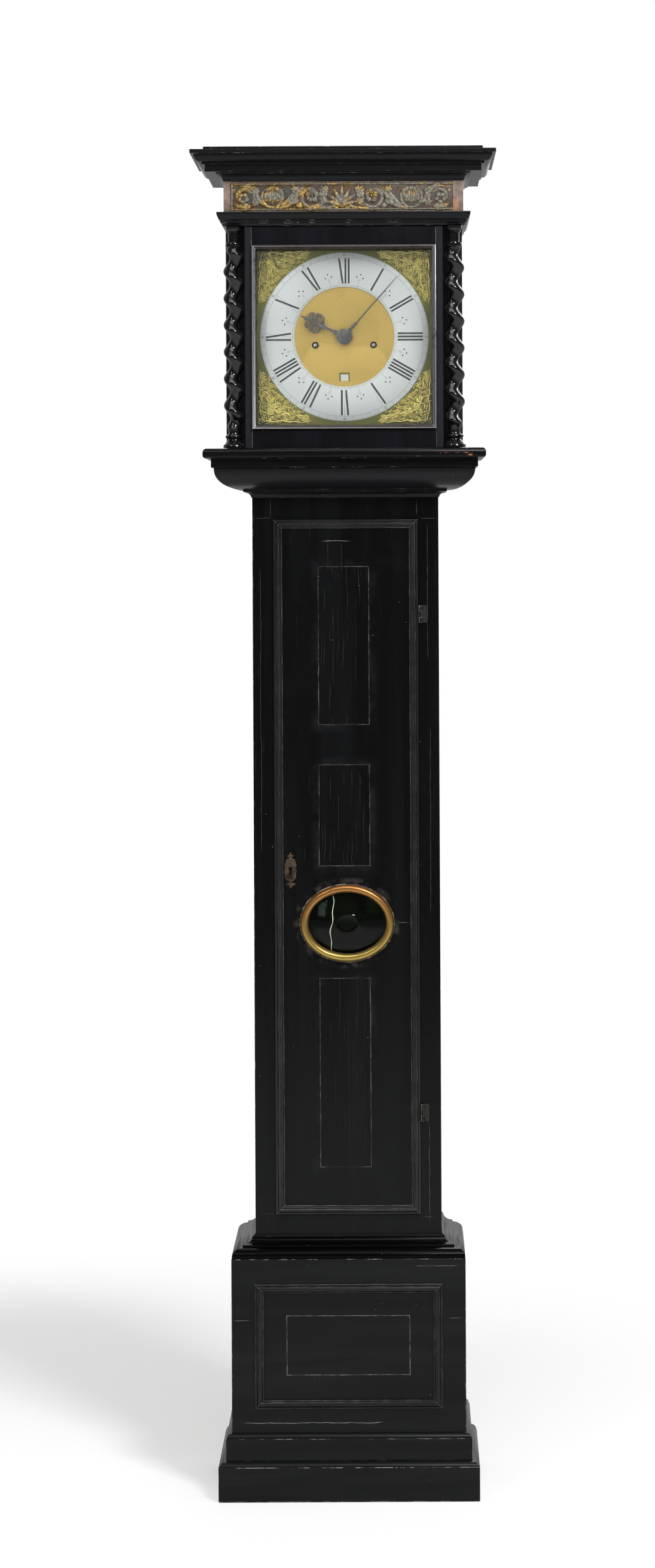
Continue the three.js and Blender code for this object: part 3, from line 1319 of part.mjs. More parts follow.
add("movement_frame", movementFrame(), brass);
add("barrel_strike", barrel(-1), brass);
add("barrel_going", barrel(1), brass);
add("escape_wheel", escapeWheel(), brass);
add("anchor", anchor(), steel);
add("bell", bell(), bellMetal);
add("pendulum_rod", pendulumRod(), steel);
add("pendulum_bob", pendulumBob(), brass);
add("weight_strike", weight(-1, strikeDrop), lead);
add("weight_going", weight(1, goingDrop), lead);
add("line_strike", weightLine(-1, strikeDrop), gut);
add("line_going", weightLine(1, goingDrop), gut);

export default clock;
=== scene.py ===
# %% [markdown]
# # A longcase clock in an ebonised case
# The clock stands about two metres tall: a base on a stepped plinth, a slim trunk with a long
# door, and a hood that slides forward off the trunk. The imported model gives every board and
# wheel its true place, so this script only adds surfaces, finer shapes and light around it.
# The scene is in metres, the dial faces -Y and the floor is at zero.

import functools
import json
from math import cos, exp, hypot, pi, radians, sin, sqrt

import bmesh
import bpy
from mathutils import Matrix, Vector

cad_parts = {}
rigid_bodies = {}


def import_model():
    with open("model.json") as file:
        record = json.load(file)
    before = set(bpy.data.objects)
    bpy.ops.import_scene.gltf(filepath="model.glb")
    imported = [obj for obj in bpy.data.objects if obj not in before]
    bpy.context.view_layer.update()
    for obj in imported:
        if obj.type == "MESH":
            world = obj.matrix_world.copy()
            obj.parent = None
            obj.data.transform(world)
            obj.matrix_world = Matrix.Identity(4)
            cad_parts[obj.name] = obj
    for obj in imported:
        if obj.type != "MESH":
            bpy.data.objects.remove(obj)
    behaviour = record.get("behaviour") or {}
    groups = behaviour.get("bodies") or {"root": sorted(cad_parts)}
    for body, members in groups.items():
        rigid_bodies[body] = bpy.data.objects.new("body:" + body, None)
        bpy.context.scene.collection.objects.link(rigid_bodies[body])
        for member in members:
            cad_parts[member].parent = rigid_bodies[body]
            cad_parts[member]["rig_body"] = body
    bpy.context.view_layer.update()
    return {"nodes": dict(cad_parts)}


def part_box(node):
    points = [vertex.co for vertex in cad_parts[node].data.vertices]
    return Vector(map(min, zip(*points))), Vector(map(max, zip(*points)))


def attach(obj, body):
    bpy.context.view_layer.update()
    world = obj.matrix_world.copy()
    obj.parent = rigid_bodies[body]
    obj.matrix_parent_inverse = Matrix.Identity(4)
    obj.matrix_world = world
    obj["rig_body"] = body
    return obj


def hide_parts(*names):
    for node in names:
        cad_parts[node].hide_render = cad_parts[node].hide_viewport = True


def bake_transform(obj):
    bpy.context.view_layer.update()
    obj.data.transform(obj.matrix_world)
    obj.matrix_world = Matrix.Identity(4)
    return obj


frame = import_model()

# %% [markdown]
# ## Planes and levels
# A cabinetmaker marks one rod with every height of the clock and works from it. These values do
# the same: each is read from the corner of a packed board, so the finer pieces land on the
# real ones and nothing has to be fitted by eye. The rod and every drawing are in millimetres,
# as in a workshop, and turn into metres where a mesh is made. The camera, the lamps and what a
# finish reads are in metres.

# %% Measure the rod
mm = 0.001
low, high = {}, {}
for node in frame["nodes"]:
    low[node], high[node] = (Vector(corner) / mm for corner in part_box(node))


def centre_of(node):
    return (low[node] + high[node]) / 2


def half_of(node):
    """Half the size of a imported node."""
    return (high[node] - low[node]) / 2


def levels(node):
    """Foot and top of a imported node."""
    return low[node].z, high[node].z


def body_of(node):
    """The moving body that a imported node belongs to."""
    return frame["nodes"][node]["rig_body"]


seam = 0.3  # gap that two pieces keep
back_y = high["backboard"].y
base_front_y = low["base_front"].y
trunk_front_y = low["trunk_front_frame"].y
hood_front_y = low["hood_door_frame"].y
trunk_half = high["trunk_front_frame"].x
base_half = high["base_front"].x
hood_half = high["hood_door_frame"].x
base_top = high["base_front"].z
hood_middle_z = centre_of("hood_door_moulding").z
dial_z = centre_of("dial_plate").z
dial_face_y = low["dial_plate"].y
glass_z = centre_of("lenticle_ring").z
print("rod: base top %.1f mm, dial %.1f mm" % (base_top, dial_z))

# %% [markdown]
# ## Camera
# The sides of the clock run to one vanishing point in the photograph, level with the middle of
# the trunk and a little right of it. A camera that looks straight ahead with its frame shifted
# keeps the uprights parallel, as a view camera with a falling front does, where a tilted camera
# would lean them.

# %% Place the camera
photo_height = 2453  # pixels, one millimetre each on the trunk's front
eye_distance = 5.7
eye_x = 0.085
eye_z = 1.485
vanish_right = 113  # vanishing point from the picture's middle, in pixels
vanish_up = 376.5
lean = 0.27  # degrees that the clock leans in the picture


def shown(name, data):
    """A new object in the scene."""
    piece = bpy.data.objects.new(name, data)
    bpy.context.scene.collection.objects.link(piece)
    return piece


camera_data = bpy.data.cameras.new("view_camera")
camera_data.sensor_fit = "AUTO"
camera_data.sensor_width = 36
camera_data.lens = 36 * eye_distance * 1000 / photo_height
camera_data.shift_x = -vanish_right / photo_height
camera_data.shift_y = -vanish_up / photo_height
camera_data.clip_end = 60
camera = shown("view_camera", camera_data)
camera.location = (eye_x, trunk_front_y * mm - eye_distance, eye_z)
camera.rotation_euler = (radians(90), radians(lean), 0)
bpy.context.scene.camera = camera
bpy.context.scene.view_settings.view_transform = "Standard"
print("camera: %.1f mm lens at %s" % (camera_data.lens, tuple(round(v, 3) for v in camera.location)))

# %% [markdown]
# ## Node trees as formulas
# A finish is a formula of the place on the wood, and long chains of nodes hide it. So an output
# of a node is wrapped as a field: fields add, subtract and multiply, and each sign puts the Math
# node that it stands for into the tree in hand.

# %% Fields
bench = []  # node trees; the last one is the tree in hand


class Field:
    """An output of a node that can be reckoned with; an index picks another output of it."""

    def __init__(self, socket):
        self.socket = socket

    def __getitem__(self, key):
        return Field(self.socket.node.outputs[key])

    def __add__(self, other):
        return calc("ADD", self, other)

    def __sub__(self, other):
        return calc("SUBTRACT", self, other)

    def __rsub__(self, other):
        return calc("SUBTRACT", other, self)

    def __mul__(self, other):
        return calc("MULTIPLY", self, other)

    def __truediv__(self, other):
        return calc("DIVIDE", self, other)

    def __abs__(self):
        return calc("ABSOLUTE", self)


print("fields ready")

# %% Nodes
def put(kind, values=None, out=0, **settings):
    """Adds a node, sets its properties, links or sets its inputs and gives one of its outputs."""
    node = bench[-1].nodes.new(kind)
    for key, setting in settings.items():
        setattr(node, key, setting)
    for key, value in (values or {}).items():
        if isinstance(value, Field):
            bench[-1].links.new(value.socket, node.inputs[key])
        else:
            node.inputs[key].default_value = value
    return Field(node.outputs[out]) if len(node.outputs) else None


def calc(operation, *values, clamp=False):
    return put("ShaderNodeMath", dict(enumerate(values)), operation=operation, use_clamp=clamp)


def ramp(value, start, end, to_start=0.0, to_end=1.0):
    """A soft step from one level to another."""
    return put("ShaderNodeMapRange", {0: value, 1: start, 2: end, 3: to_start, 4: to_end},
               interpolation_type="SMOOTHSTEP")


def split(vector):
    parts = put("ShaderNodeSeparateXYZ", {0: vector})
    return parts[0], parts[1], parts[2]


def join(x, y, z):
    return put("ShaderNodeCombineXYZ", {0: x, 1: y, 2: z})


def add_socket(tree, label, kind, way="INPUT"):
    return tree.interface.new_socket(label, in_out=way, socket_type="NodeSocket" + kind)


def clean_tree(owner):
    """Empties the node tree of a material or world and takes it in hand."""
    owner.use_nodes = True
    owner.node_tree.nodes.clear()
    bench.append(owner.node_tree)


print("nodes ready")

# %% [markdown]
# ## Light
# Black gloss shows little but what it reflects. Two tall soft boxes give the twin highlights on
# the columns, a weak room keeps the boards dark, and the white surround is seen only by the
# camera and through glass. Lighting everything brightly would turn ebony to grey.

# %% Room and lamps
white = (1, 1, 1, 1)
room_glow = 0.42  # what lights the boards
gloss_glow = 0.16  # what black gloss reflects from the dark front of the room
rear_glow = 0.8  # the same from behind the clock
world = bpy.data.worlds.new("studio")
bpy.context.scene.world = world
clean_tree(world)
paths = put("ShaderNodeLightPath")
direct = calc("LESS_THAN", paths["Diffuse Depth"], 0.5)  # keeps the white out of the closed trunk
seen = calc("MAXIMUM", paths["Is Camera Ray"], paths["Is Transmission Ray"] * direct)
toward = put("ShaderNodeTexCoord", out="Generated")
behind = put("ShaderNodeMapRange", {0: split(toward)[1], 1: 0.0, 2: 0.75, 3: gloss_glow, 4: rear_glow})
strength = calc("MAXIMUM", seen, paths["Is Glossy Ray"] * (behind - room_glow) + room_glow)
surround = put("ShaderNodeBackground", {"Color": white, "Strength": strength})
put("ShaderNodeOutputWorld", {"Surface": surround})


def soft_box(name, place, target_z, width, height, watts, diffuse=True, gloss=True):
    """A lamp that faces the clock's axis at a height; it may be seen in one way only."""
    data = bpy.data.lights.new(name, "AREA")
    data.shape = "RECTANGLE"
    data.size, data.size_y, data.energy = width, height, watts
    lamp = shown(name, data)
    lamp.location = place
    lamp.rotation_euler = (Vector((0, 0, target_z)) - Vector(place)).to_track_quat("-Z", "Y").to_euler()
    lamp.visible_diffuse, lamp.visible_glossy = diffuse, gloss


soft_box("key_box", (1.45, -2.7, 3.6), 1.0, 0.7, 0.8, 96)
soft_box("fill_box", (-1.5, -3.2, 1.9), 1.2, 0.45, 1.5, 34, gloss=False)
soft_box("left_glint", (-1.65, -2.1, 3.6), 1.6, 0.4, 0.5, 18, diffuse=False)
soft_box("rear_glint", (2.0, 1.4, 3.0), 1.6, 0.5, 1.0, 24, diffuse=False)
soft_box("top_box", (0.2, -1.4, 4.2), 1.2, 2.2, 1.4, 46)
soft_box("rear_box", (0.4, 3.2, 2.9), 1.1, 2.2, 1.6, 40)
print("light: 4 soft boxes, 2 small ones seen only in gloss, and a white surround")

# %% Floor
four_corners = ((-1, -1), (1, -1), (1, 1), (-1, 1))
floor_reach = 30.0
shadow_place = (-0.42, 0.72, 0.0)  # behind the clock on its left
floor_mesh = bpy.data.meshes.new("floor")
floor_mesh.from_pydata([(x * floor_reach, y * floor_reach, 0) for x, y in four_corners], [], [(0, 1, 2, 3)])
floor = shown("floor", floor_mesh)
floor_finish = bpy.data.materials.new("floor_white")
clean_tree(floor_finish)
distance = put("ShaderNodeVectorMath", {0: put("ShaderNodeNewGeometry", out="Position"), 1: shadow_place},
               "Value", operation="DISTANCE")
clear = ramp(distance, 0.45, 1.2, 0.08, 1.0) * put("ShaderNodeLightPath", out="Is Camera Ray")
matt = put("ShaderNodeBsdfDiffuse", {"Color": (0.93, 0.93, 0.93, 1)})
glow = put("ShaderNodeEmission", {"Color": white, "Strength": 1.0})
put("ShaderNodeOutputMaterial", {"Surface": put("ShaderNodeMixShader", {0: clear, 1: matt, 2: glow})})
floor_mesh.materials.append(floor_finish)
print("floor: %.0f m square, shadow kept near the clock" % (2 * floor_reach))

# %% [markdown]
# ## Making pieces
# Nearly every piece of a clock is a board, a moulding run or a turning. Small helpers make those
# from their section, and another takes a packed board and eases its edges, because no edge on an
# old clock is razor sharp and the eased edge is what catches the light. Faces on an edge carry
# an attribute named "arris", which the finishes read to rub the black through.

# %% Pieces from points
def finished(bm, name):
    """A mesh from a bmesh that is done with."""
    mesh = bpy.data.meshes.new(name)
    bm.to_mesh(mesh)
    bm.free()
    return mesh


def settle(mesh, merge=1e-6):
    """Merges doubles and turns every face outward."""
    bm = bmesh.new()
    bm.from_mesh(mesh)
    bmesh.ops.remove_doubles(bm, verts=bm.verts, dist=merge)
    bmesh.ops.recalc_face_normals(bm, faces=bm.faces)
    bm.to_mesh(mesh)
    bm.free()


def smooth_below(mesh, degrees):
    mesh.polygons.foreach_set("use_smooth", [True] * len(mesh.polygons))
    mesh.set_sharp_from_angle(angle=radians(degrees))


def mesh_of(name, vertices, faces, smooth=40):
    """A closed mesh from millimetres, faces outward, shaded smooth below an angle if one is given."""
    mesh = bpy.data.meshes.new(name)
    mesh.from_pydata([Vector(v) * mm for v in vertices], [], faces)
    settle(mesh)
    if smooth is not None:
        smooth_below(mesh, smooth)
    return mesh


print("meshes ready")

# %% Joining and placing
def joined(name, meshes):
    """One mesh from several."""
    bm = bmesh.new()
    for mesh in meshes:
        bm.from_mesh(mesh)
    return finished(bm, name)


def evaluated_mesh(piece):
    """The mesh that an object shows, with its curve or modifiers worked out."""
    graph = bpy.context.evaluated_depsgraph_get()
    graph.update()
    mesh = bpy.data.meshes.new_from_object(piece.evaluated_get(graph))
    bpy.data.objects.remove(piece)
    return mesh


def placed(name, mesh, node, finish, body=None):
    """Shows a mesh, or several as one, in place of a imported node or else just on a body."""
    if isinstance(mesh, list):
        mesh = joined(name, mesh)
    piece = shown(name, mesh)
    body = body or body_of(node)
    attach(piece, body)
    if node:
        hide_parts(node)
    mesh.materials.clear()
    mesh.materials.append(finish)
    return piece


print("piece helpers ready")

# %% Arcs and sweeps
def arc(x, y, wide, tall, start, end, steps):
    """Points on an ellipse, in degrees."""
    turns = [radians(start + (end - start) * i / steps) for i in range(steps + 1)]
    return [(x + wide * cos(turn), y + tall * sin(turn)) for turn in turns]


def circle(x, y, radius, sides=40):
    return arc(x, y, radius, radius, 0, 360, sides)[:-1]


def sweep(rings, closed):
    """Faces that skin rings of equal count, closing on the first ring or capping both ends."""
    count = len(rings[0])
    vertices = [point for ring in rings for point in ring]
    faces = []
    for i in range(len(rings) if closed else len(rings) - 1):
        a, b = i * count, (i + 1) % len(rings) * count
        faces += [(a + j, a + (j + 1) % count, b + (j + 1) % count, b + j) for j in range(count)]
    if not closed:
        faces += [tuple(range(count)), tuple(range((len(rings) - 1) * count, len(rings) * count))]
    return vertices, faces


print("sweeps ready")

# %% Sections carried round
def round_the_front(section, half, front):
    """A section of (out, z) points run along both sides and the front of a case."""
    return sweep([[(side * (half + out), back_y if rear else front - out, z) for out, z in section]
                  for side, rear in ((-1, True), (-1, False), (1, False), (1, True))], False)


def round_a_panel(section, half_wide, half_tall, middle_z, face):
    """A section of (out, proud) points mitred round a rectangle on a front."""
    return sweep([[(side_x * (half_wide + out), face - proud, middle_z + side_z * (half_tall + out))
                   for out, proud in section] for side_x, side_z in four_corners], True)


def round_an_oval(section, half_wide, half_tall, middle_z, face, steps):
    """A section of (inward, proud) points carried round an oval on a front."""
    turns = [2 * pi * i / steps for i in range(steps)]
    return sweep([[((half_wide - inward) * cos(turn), face - proud,
                    middle_z + (half_tall - inward) * sin(turn)) for inward, proud in section]
                  for turn in turns], True)


print("runs ready")

# %% Lathe
def turned(section, centre, axis, sides=64):
    """A section of (radius, along) points turned on a lathe; it starts and ends on the axis."""
    vertices, faces, rows = [], [], []
    for radius, along in section:
        row = []
        for j in range(sides if radius > 1e-7 else 1):
            turn = 2 * pi * j / sides
            a, b = radius * cos(turn), radius * sin(turn)
            row.append(len(vertices))
            vertices.append(Vector(centre) + Vector((a, along, b) if axis == "Y" else (a, b, along)))
        rows.append(row)
    for a, b in zip(rows, rows[1:]):
        for j in range(sides):
            k = (j + 1) % sides
            corners = [a[j % len(a)], a[k % len(a)], b[k % len(b)], b[j % len(b)]]
            face = [v for i, v in enumerate(corners) if v not in corners[:i]]
            if len(face) > 2:
                faces.append(face)
    return vertices, faces


def lathe(section, centre, axis, sides, smooth=40):
    """A turning of (radius, along) points about a line through a centre."""
    return mesh_of("turning", *turned(section, centre, axis, sides), smooth)


print("lathe ready")

# %% Eased edges
def ease_edges(bm, name, ease, above):
    """Rounds every edge sharper than an angle, marks the faces this makes and gives the mesh."""
    marked = bm.faces.layers.float.new("arris")
    limit = radians(above)

    def bend(edge):
        return edge.calc_face_angle(0) if len(edge.link_faces) == 2 else 0

    result = bmesh.ops.bevel(bm, geom=[edge for edge in bm.edges if bend(edge) > limit], offset=ease * mm,
                             segments=2, profile=0.5, affect="EDGES", clamp_overlap=True, loop_slide=True)
    rounded_faces = set(result["faces"])
    for face in bm.faces:
        face[marked] = float(face in rounded_faces)
        face.smooth = face in rounded_faces or any(
            0.01 < bend(edge) < limit and not rounded_faces.intersection(edge.link_faces)
            for edge in face.edges)
    return finished(bm, name)


def eased(node, finish, ease=0.6, slot="ebonised_wood"):
    """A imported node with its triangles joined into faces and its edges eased."""
    bm = bmesh.new()
    bm.from_mesh(frame["nodes"][node].data)
    bmesh.ops.remove_doubles(bm, verts=bm.verts, dist=1e-6)
    bmesh.ops.dissolve_limit(bm, angle_limit=radians(0.4), verts=bm.verts, edges=bm.edges)
    name = node + "_worked"
    return placed(name, ease_edges(bm, name, ease, 32), node, finish)


def run_piece(node, swept, finish, ease=0.7):
    """A moulding run from its swept points, with its arrises eased."""
    name = node + "_run"
    bm = bmesh.new()
    bm.from_mesh(mesh_of(name, *swept, None))
    return placed(name, ease_edges(bm, name, ease, 38), node, finish)


print("edge helpers ready")

# %% [markdown]
# ## Effects that several finishes share
# Old ebonised pearwood is never plain black: the stain rubs pale on every arris, the polish
# crazes in fine lines along the grain, and hands leave cloudy patches. Each effect is one node
# group, built once, so the same craze or wear can be stronger on the door than on the base.

# %% Noise and masks
def noise(place, scale, detail=2.0, roughness=0.5, distortion=0.0):
    return put("ShaderNodeTexNoise", {"Vector": place, "Scale": scale, "Detail": detail,
                                      "Roughness": roughness, "Distortion": distortion})


def stretched(place, x, y, z):
    return put("ShaderNodeMapping", {"Vector": place, "Scale": (x, y, z)})


def swapped(place):
    """The same place with X and Z exchanged, for grain and cracks that run across."""
    x, y, z = split(place)
    return join(z, y, x)


def most(masks):
    return functools.reduce(lambda a, b: calc("MAXIMUM", a, b), masks)


print("noise ready")

# %% Group maker
def effect(*outputs, **inputs):
    """Turns the function below it into a shader group, built once and used by calling its name."""
    def maker(build):
        group = bpy.data.node_groups.new(build.__name__, "ShaderNodeTree")
        add_socket(group, "place", "Vector")
        for label, default in inputs.items():
            add_socket(group, label, "Float").default_value = default
        for label in outputs:
            add_socket(group, label, "Float", "OUTPUT")
        bench.append(group)
        source = put("NodeGroupInput")
        results = build(source["place"], **{label: source[label] for label in inputs})
        put("NodeGroupOutput", dict(zip(outputs, results)))
        return lambda place, **values: put("ShaderNodeGroup", {"place": place, **values}, node_tree=group)
    return maker


print("group maker ready")

# %% Wear, craze and clouds
@effect("mask", wear=0.5, scale=60.0)
def arris_wear(place, wear, scale):
    """Rubbed patches on the faces that were marked when edges were eased."""
    edge = put("ShaderNodeAttribute", out="Fac", attribute_name="arris")
    level = noise(place, scale * 7.0, 1.0) * 0.35 + noise(place, scale, 3.0, 0.6)
    start = 1.2 - wear
    return [edge * ramp(level, start, start + 0.16)]


@effect("mask", spacing=0.006, length=0.09, width=0.0004, amount=0.5)
def craze(place, spacing, length, width, amount):
    """Thin wandering lines along the grain: one to a strip, each broken into lengths."""
    x, y, z = split(place)
    along = z / length
    across = noise(join(x, y, along), 2.2, 3.0, 0.7) * 1.3 + (x + y) / spacing
    strip = calc("FLOOR", across)
    centre = put("ShaderNodeTexWhiteNoise", {"W": strip}, noise_dimensions="1D") * 0.5 + 0.25
    line = ramp(abs(calc("FRACT", across) - centre) * spacing, width, 0.0)
    start = 0.78 - amount * 0.5
    return [line * ramp(noise(join(strip * 3.7, 0.0, along), 1.6), start, start + 0.18)]


@effect("cloud", "specks", scale=6.0, amount=0.5)
def cloudiness(place, scale, amount):
    """Cloudy patches in the polish, and small pale dents."""
    start = 0.85 - amount * 0.5
    cloud = ramp(noise(place, scale, 4.0, 0.62, 0.6), start, start + 0.25)
    speck = put("ShaderNodeTexVoronoi", {"Vector": place, "Scale": 95.0}, "Distance")
    return [cloud, ramp(speck, 0.07, 0.03) * ramp(split(speck["Color"])[0], 0.93, 0.96)]


@effect("pores", "figure")
def wood_grain(place):
    return [noise(stretched(place, 240.0, 240.0, 6.0), 1.0, 3.0, 0.6),
            noise(stretched(place, 22.0, 22.0, 1.4), 1.0, 3.0, 0.6, 0.8)]


print("effects of the polish ready")

# %% Outlines, cracks and tarnish
@effect("line", "inside", "halo", middle_x=0.0, middle_z=0.0, half_width=0.04, half_height=0.1, thick=0.001)
def outlined(place, middle_x, middle_z, half_width, half_height, thick):
    """A rectangle on the front: its chipped outline, its inside and a rubbed halo round it."""
    x, _, z = split(place)
    shake = noise(place, 70.0) * 0.0012 - 0.0006
    away = calc("MAXIMUM", abs(x - middle_x) - half_width, abs(z - middle_z) - half_height) + shake
    chips = ramp(noise(place, 46.0, 3.0, 0.7), 0.42, 0.62, 0.25, 1.0)
    halo = ramp(away, 0.018, 0.0) * ramp(noise(place, 16.0, 4.0, 0.7), 0.42, 0.7)
    inside = ramp(away, 0.0002, -0.0002)
    return [ramp(abs(away), thick, thick * 0.2) * chips, inside, halo * (1.0 - inside)]


@effect("mask", middle=0.0, start=0.0, end=1.0, width=0.0006, wander=0.004)
def crack(place, middle, start, end, width, wander):
    """One crack that runs along Z and wanders in X."""
    x, _, z = split(place)
    path = join(0.0, middle, z)
    away = abs(x - ((noise(path, 26.0, 4.0, 0.65) - 0.5) * wander + middle))
    thick = width * ramp(noise(path, 60.0), 0.3, 0.7, 0.4, 1.2)
    return [ramp(away, thick, 0.0) * ramp(z, start, start + 0.012) * ramp(z, end, end - 0.012)]


@effect("mask", "fine", scale=30.0, amount=0.4)
def tarnish(place, scale, amount):
    """Broad brown patches with broken edges, and the fine grain that breaks them."""
    fine = noise(place, scale * 9.0, 3.0, 0.7)
    start = 0.95 - amount
    return [ramp((fine - 0.5) * 0.4 + noise(place, scale, 5.0, 0.65), start, start + 0.3), fine]


print("effects:", ", ".join(group.name for group in bpy.data.node_groups))

# %% Materials
def rgb(colour):
    """A colour as it is seen on screen, turned linear; a field stays as it is."""
    if not isinstance(colour, str):
        return colour
    values = [int(colour[i:i + 2], 16) / 255 for i in (0, 2, 4)]
    return tuple((v / 12.92 if v <= 0.04045 else ((v + 0.055) / 1.055) ** 2.4) for v in values) + (1,)


def blend(factor, under, over):
    return put("ShaderNodeMix", {0: factor, 6: rgb(under), 7: rgb(over)}, 2, data_type="RGBA")


def begin(name):
    """A new material with its tree in hand, and the place on the clock as a field."""
    material = bpy.data.materials.new(name)
    clean_tree(material)
    return material, put("ShaderNodeTexCoord", out="Object")


def dress(colour, rough, height=None, relief=0.4, deep=0.0003, metallic=0.0, **others):
    """Ends the material in hand; deep is the depth of its relief in metres."""
    values = {"Base Color": rgb(colour), "Roughness": rough, "Metallic": metallic, **others}
    if height is not None:
        values["Normal"] = put("ShaderNodeBump", {"Strength": relief, "Distance": deep, "Height": height})
    put("ShaderNodeOutputMaterial", {"Surface": put("ShaderNodeBsdfPrincipled", values)})


print("the stain's black, linear:", [round(v, 4) for v in rgb("050506")[:3]])

# %% [markdown]
# ## Ebonised wood
# Pearwood stained black and polished. One maker serves every black piece: it lays the craze and
# grain along the board's own length and takes extra marks, such as the door's inlaid panels,
# as a mask. The colour itself stays dark; what the eye reads as black is a dark base with a low
# gloss, and the pale marks lie on top.

# %% Black wood
def ebonised(name, run="Z", dark="050506", light="0c0d0e", gloss=0.26, worn="8d8a84", wear=0.5,
             crazed=0.45, clouds=0.4, shine=0.1, marks=None, bare=None, foot=0.0):
    """Black wood. marks(place) gives pale lines and a patch, which is rubbing round the door's panels
    and painted sheen on the hood; bare is (low, high, left, right, amount) of the brown wood in
    chips; foot lightens it towards the floor, a painted reflection of the white floor."""
    material, place = begin(name)
    x, _, z = split(place)
    grained = place if run == "Z" else swapped(place)
    pores = wood_grain(grained)
    cloud = cloudiness(place, amount=clouds)
    hair = craze(grained, spacing=0.0024, length=0.05, width=0.00022, amount=crazed)
    lined = calc("MAXIMUM", craze(grained, amount=crazed) * 0.34, hair * 0.24)
    colour = blend(cloud * 0.4, blend(ramp(pores["figure"], 0.35, 0.75), dark, light), "1a1b1d")
    # painted reflection: the black is lightened towards the floor, as the white floor would show in it
    if foot:
        colour = blend(ramp(z, 0.95, 0.45, 0.0, foot), colour, "191a1b")
    colour = blend(lined, colour, "4d4f52")
    pale = calc("MAXIMUM", arris_wear(place, wear=wear) * 0.85, cloud["specks"] * 0.8)
    if marks:
        # on the hood this patch is painted sheen beside the columns; on the door it is rubbing round the
        # panels
        drawn, rubbed = marks(place)
        pale, lined = calc("MAXIMUM", pale, drawn), calc("MAXIMUM", lined, drawn)
        colour = blend(rubbed * 0.34, colour, "2b2d30")
    colour = blend(pale, colour, worn)
    if bare:
        foot_z, top_z, left, right, amount = bare
        band = ramp(z, foot_z - 0.001, foot_z) * ramp(z, top_z + 0.001, top_z)
        band = band * ramp(x, left, left + 0.006) * ramp(x, right, right - 0.006)
        chips = noise(stretched(place, 34.0, 34.0, 120.0), 1.0, 4.0, 0.65)
        colour = blend(band * ramp(chips, amount, amount + 0.05), colour, "8a5738")
    dress(colour, cloud * 0.16 + gloss + pores * 0.08 + pale * 0.25, pores * 0.12 - lined, 0.35,
          **{"Specular IOR Level": shine})
    return material


print("ebony maker ready")

# %% [markdown]
# ## Marks on the boards
# Inlaid lines, splits at the joints and dust between reeds tell one board from another. They
# could be painted on an image, but a mark that is worked out from the place needs no picture and
# stays sharp from near by.

# %% Marks of the door
def cracks(place, lines):
    """Cracks and joints given as (x, low, high, width, wander) along Z."""
    labels = ("middle", "start", "end", "width", "wander")
    return most([crack(place, **dict(zip(labels, line))) for line in lines])


def door_marks(place):
    """Three inlaid panels, splits, scratches and the rubbed rim round the lenticle."""
    panels = [outlined(place, middle_x=-0.0035, middle_z=middle, half_width=0.0395, half_height=half)
              for middle, half in ((1.3255, 0.1235), (1.060, 0.079), (0.6575, 0.1475))]
    x, _, z = split(place)
    deep = craze(place, spacing=0.0068, length=0.12, width=0.00034, amount=0.62)
    checks = deep * most([panel["inside"] for panel in panels]) * ramp(z, 0.5, 1.1, 0.07, 0.17)
    splits = cracks(place, [(-0.0276, 1.44, 1.50, 0.0004, 0.001), (-0.0065, 1.44, 1.49, 0.0003, 0.001)])
    scratch = cracks(swapped(place), [(0.8915, 0.076, 0.099, 0.0007, 0.0015),
                                      (1.489, -0.04, 0.01, 0.0008, 0.006)])
    oval = calc("POWER", x / 0.087, 2.0) + calc("POWER", (z - glass_z * mm) / 0.074, 2.0)
    rim = ramp(oval, 1.0, 0.8) * ramp(noise(place, 60.0, 3.0), 0.45, 0.7)
    patchy = ramp(noise(place, 22.0, 3.0), 0.35, 0.6, 0.1, 0.32)
    drawn = most([most(panels) * patchy, checks, splits * 0.16, scratch * 0.85, rim * 0.1])
    return drawn, most([panel["halo"] for panel in panels])


print("marks of the door ready")

# %% Marks of trunk, base and hood
def trunk_marks(place):
    upright = [(-0.117, 1.525, 1.557, 0.0006, 0.002), (0.1118, 1.526, 1.557, 0.0006, 0.001),
               (0.128, 1.30, 1.52, 0.0005, 0.004), (0.131, 0.9, 1.2, 0.0004, 0.004),
               (-0.133, 1.0, 1.45, 0.0004, 0.005), (0.127, 0.42, 0.6, 0.0006, 0.004)]
    across = [(1.5255, -0.146, -0.112, 0.0009, 0.007), (1.524, 0.113, 0.146, 0.0008, 0.006),
              (0.4315, 0.113, 0.138, 0.0007, 0.005), (0.4375, -0.14, -0.112, 0.0004, 0.003)]
    return most([cracks(place, upright), cracks(swapped(place), across)]) * 0.25, 0.0


def base_marks(place):
    panel = outlined(place, middle_x=-0.0005, middle_z=0.239, half_width=0.0955, half_height=0.046,
                     thick=0.0009)
    across = [(0.1185, -0.166, 0.055, 0.0009, 0.009), (0.278, -0.182, -0.148, 0.0005, 0.003),
              (0.281, 0.152, 0.182, 0.0005, 0.003), (0.362, 0.10, 0.175, 0.0004, 0.002)]
    return most([panel * 0.5, cracks(swapped(place), across) * 0.7]), 0.0


def reed_marks(node, insets):
    """Dust and wear in the grooves of a mitred frame, at millimetres from its outer edge."""
    middle, half = centre_of(node) * mm, half_of(node)

    def marks(place):
        lines = [outlined(place, middle_x=middle.x, middle_z=middle.z, half_width=(half.x - inset) * mm,
                          half_height=(half.z - inset) * mm, thick=0.0008) for inset in insets]
        return most(lines) * 0.24, 0.0
    return marks


def front_marks(place):
    """Paler grey on the faces of the hood sides that look forward, which show beside the columns: painted
    sheen.
    """
    facing = ramp(split(put("ShaderNodeNewGeometry", out="Normal"))[1], -0.7, -0.9)
    return facing * 0.22, facing


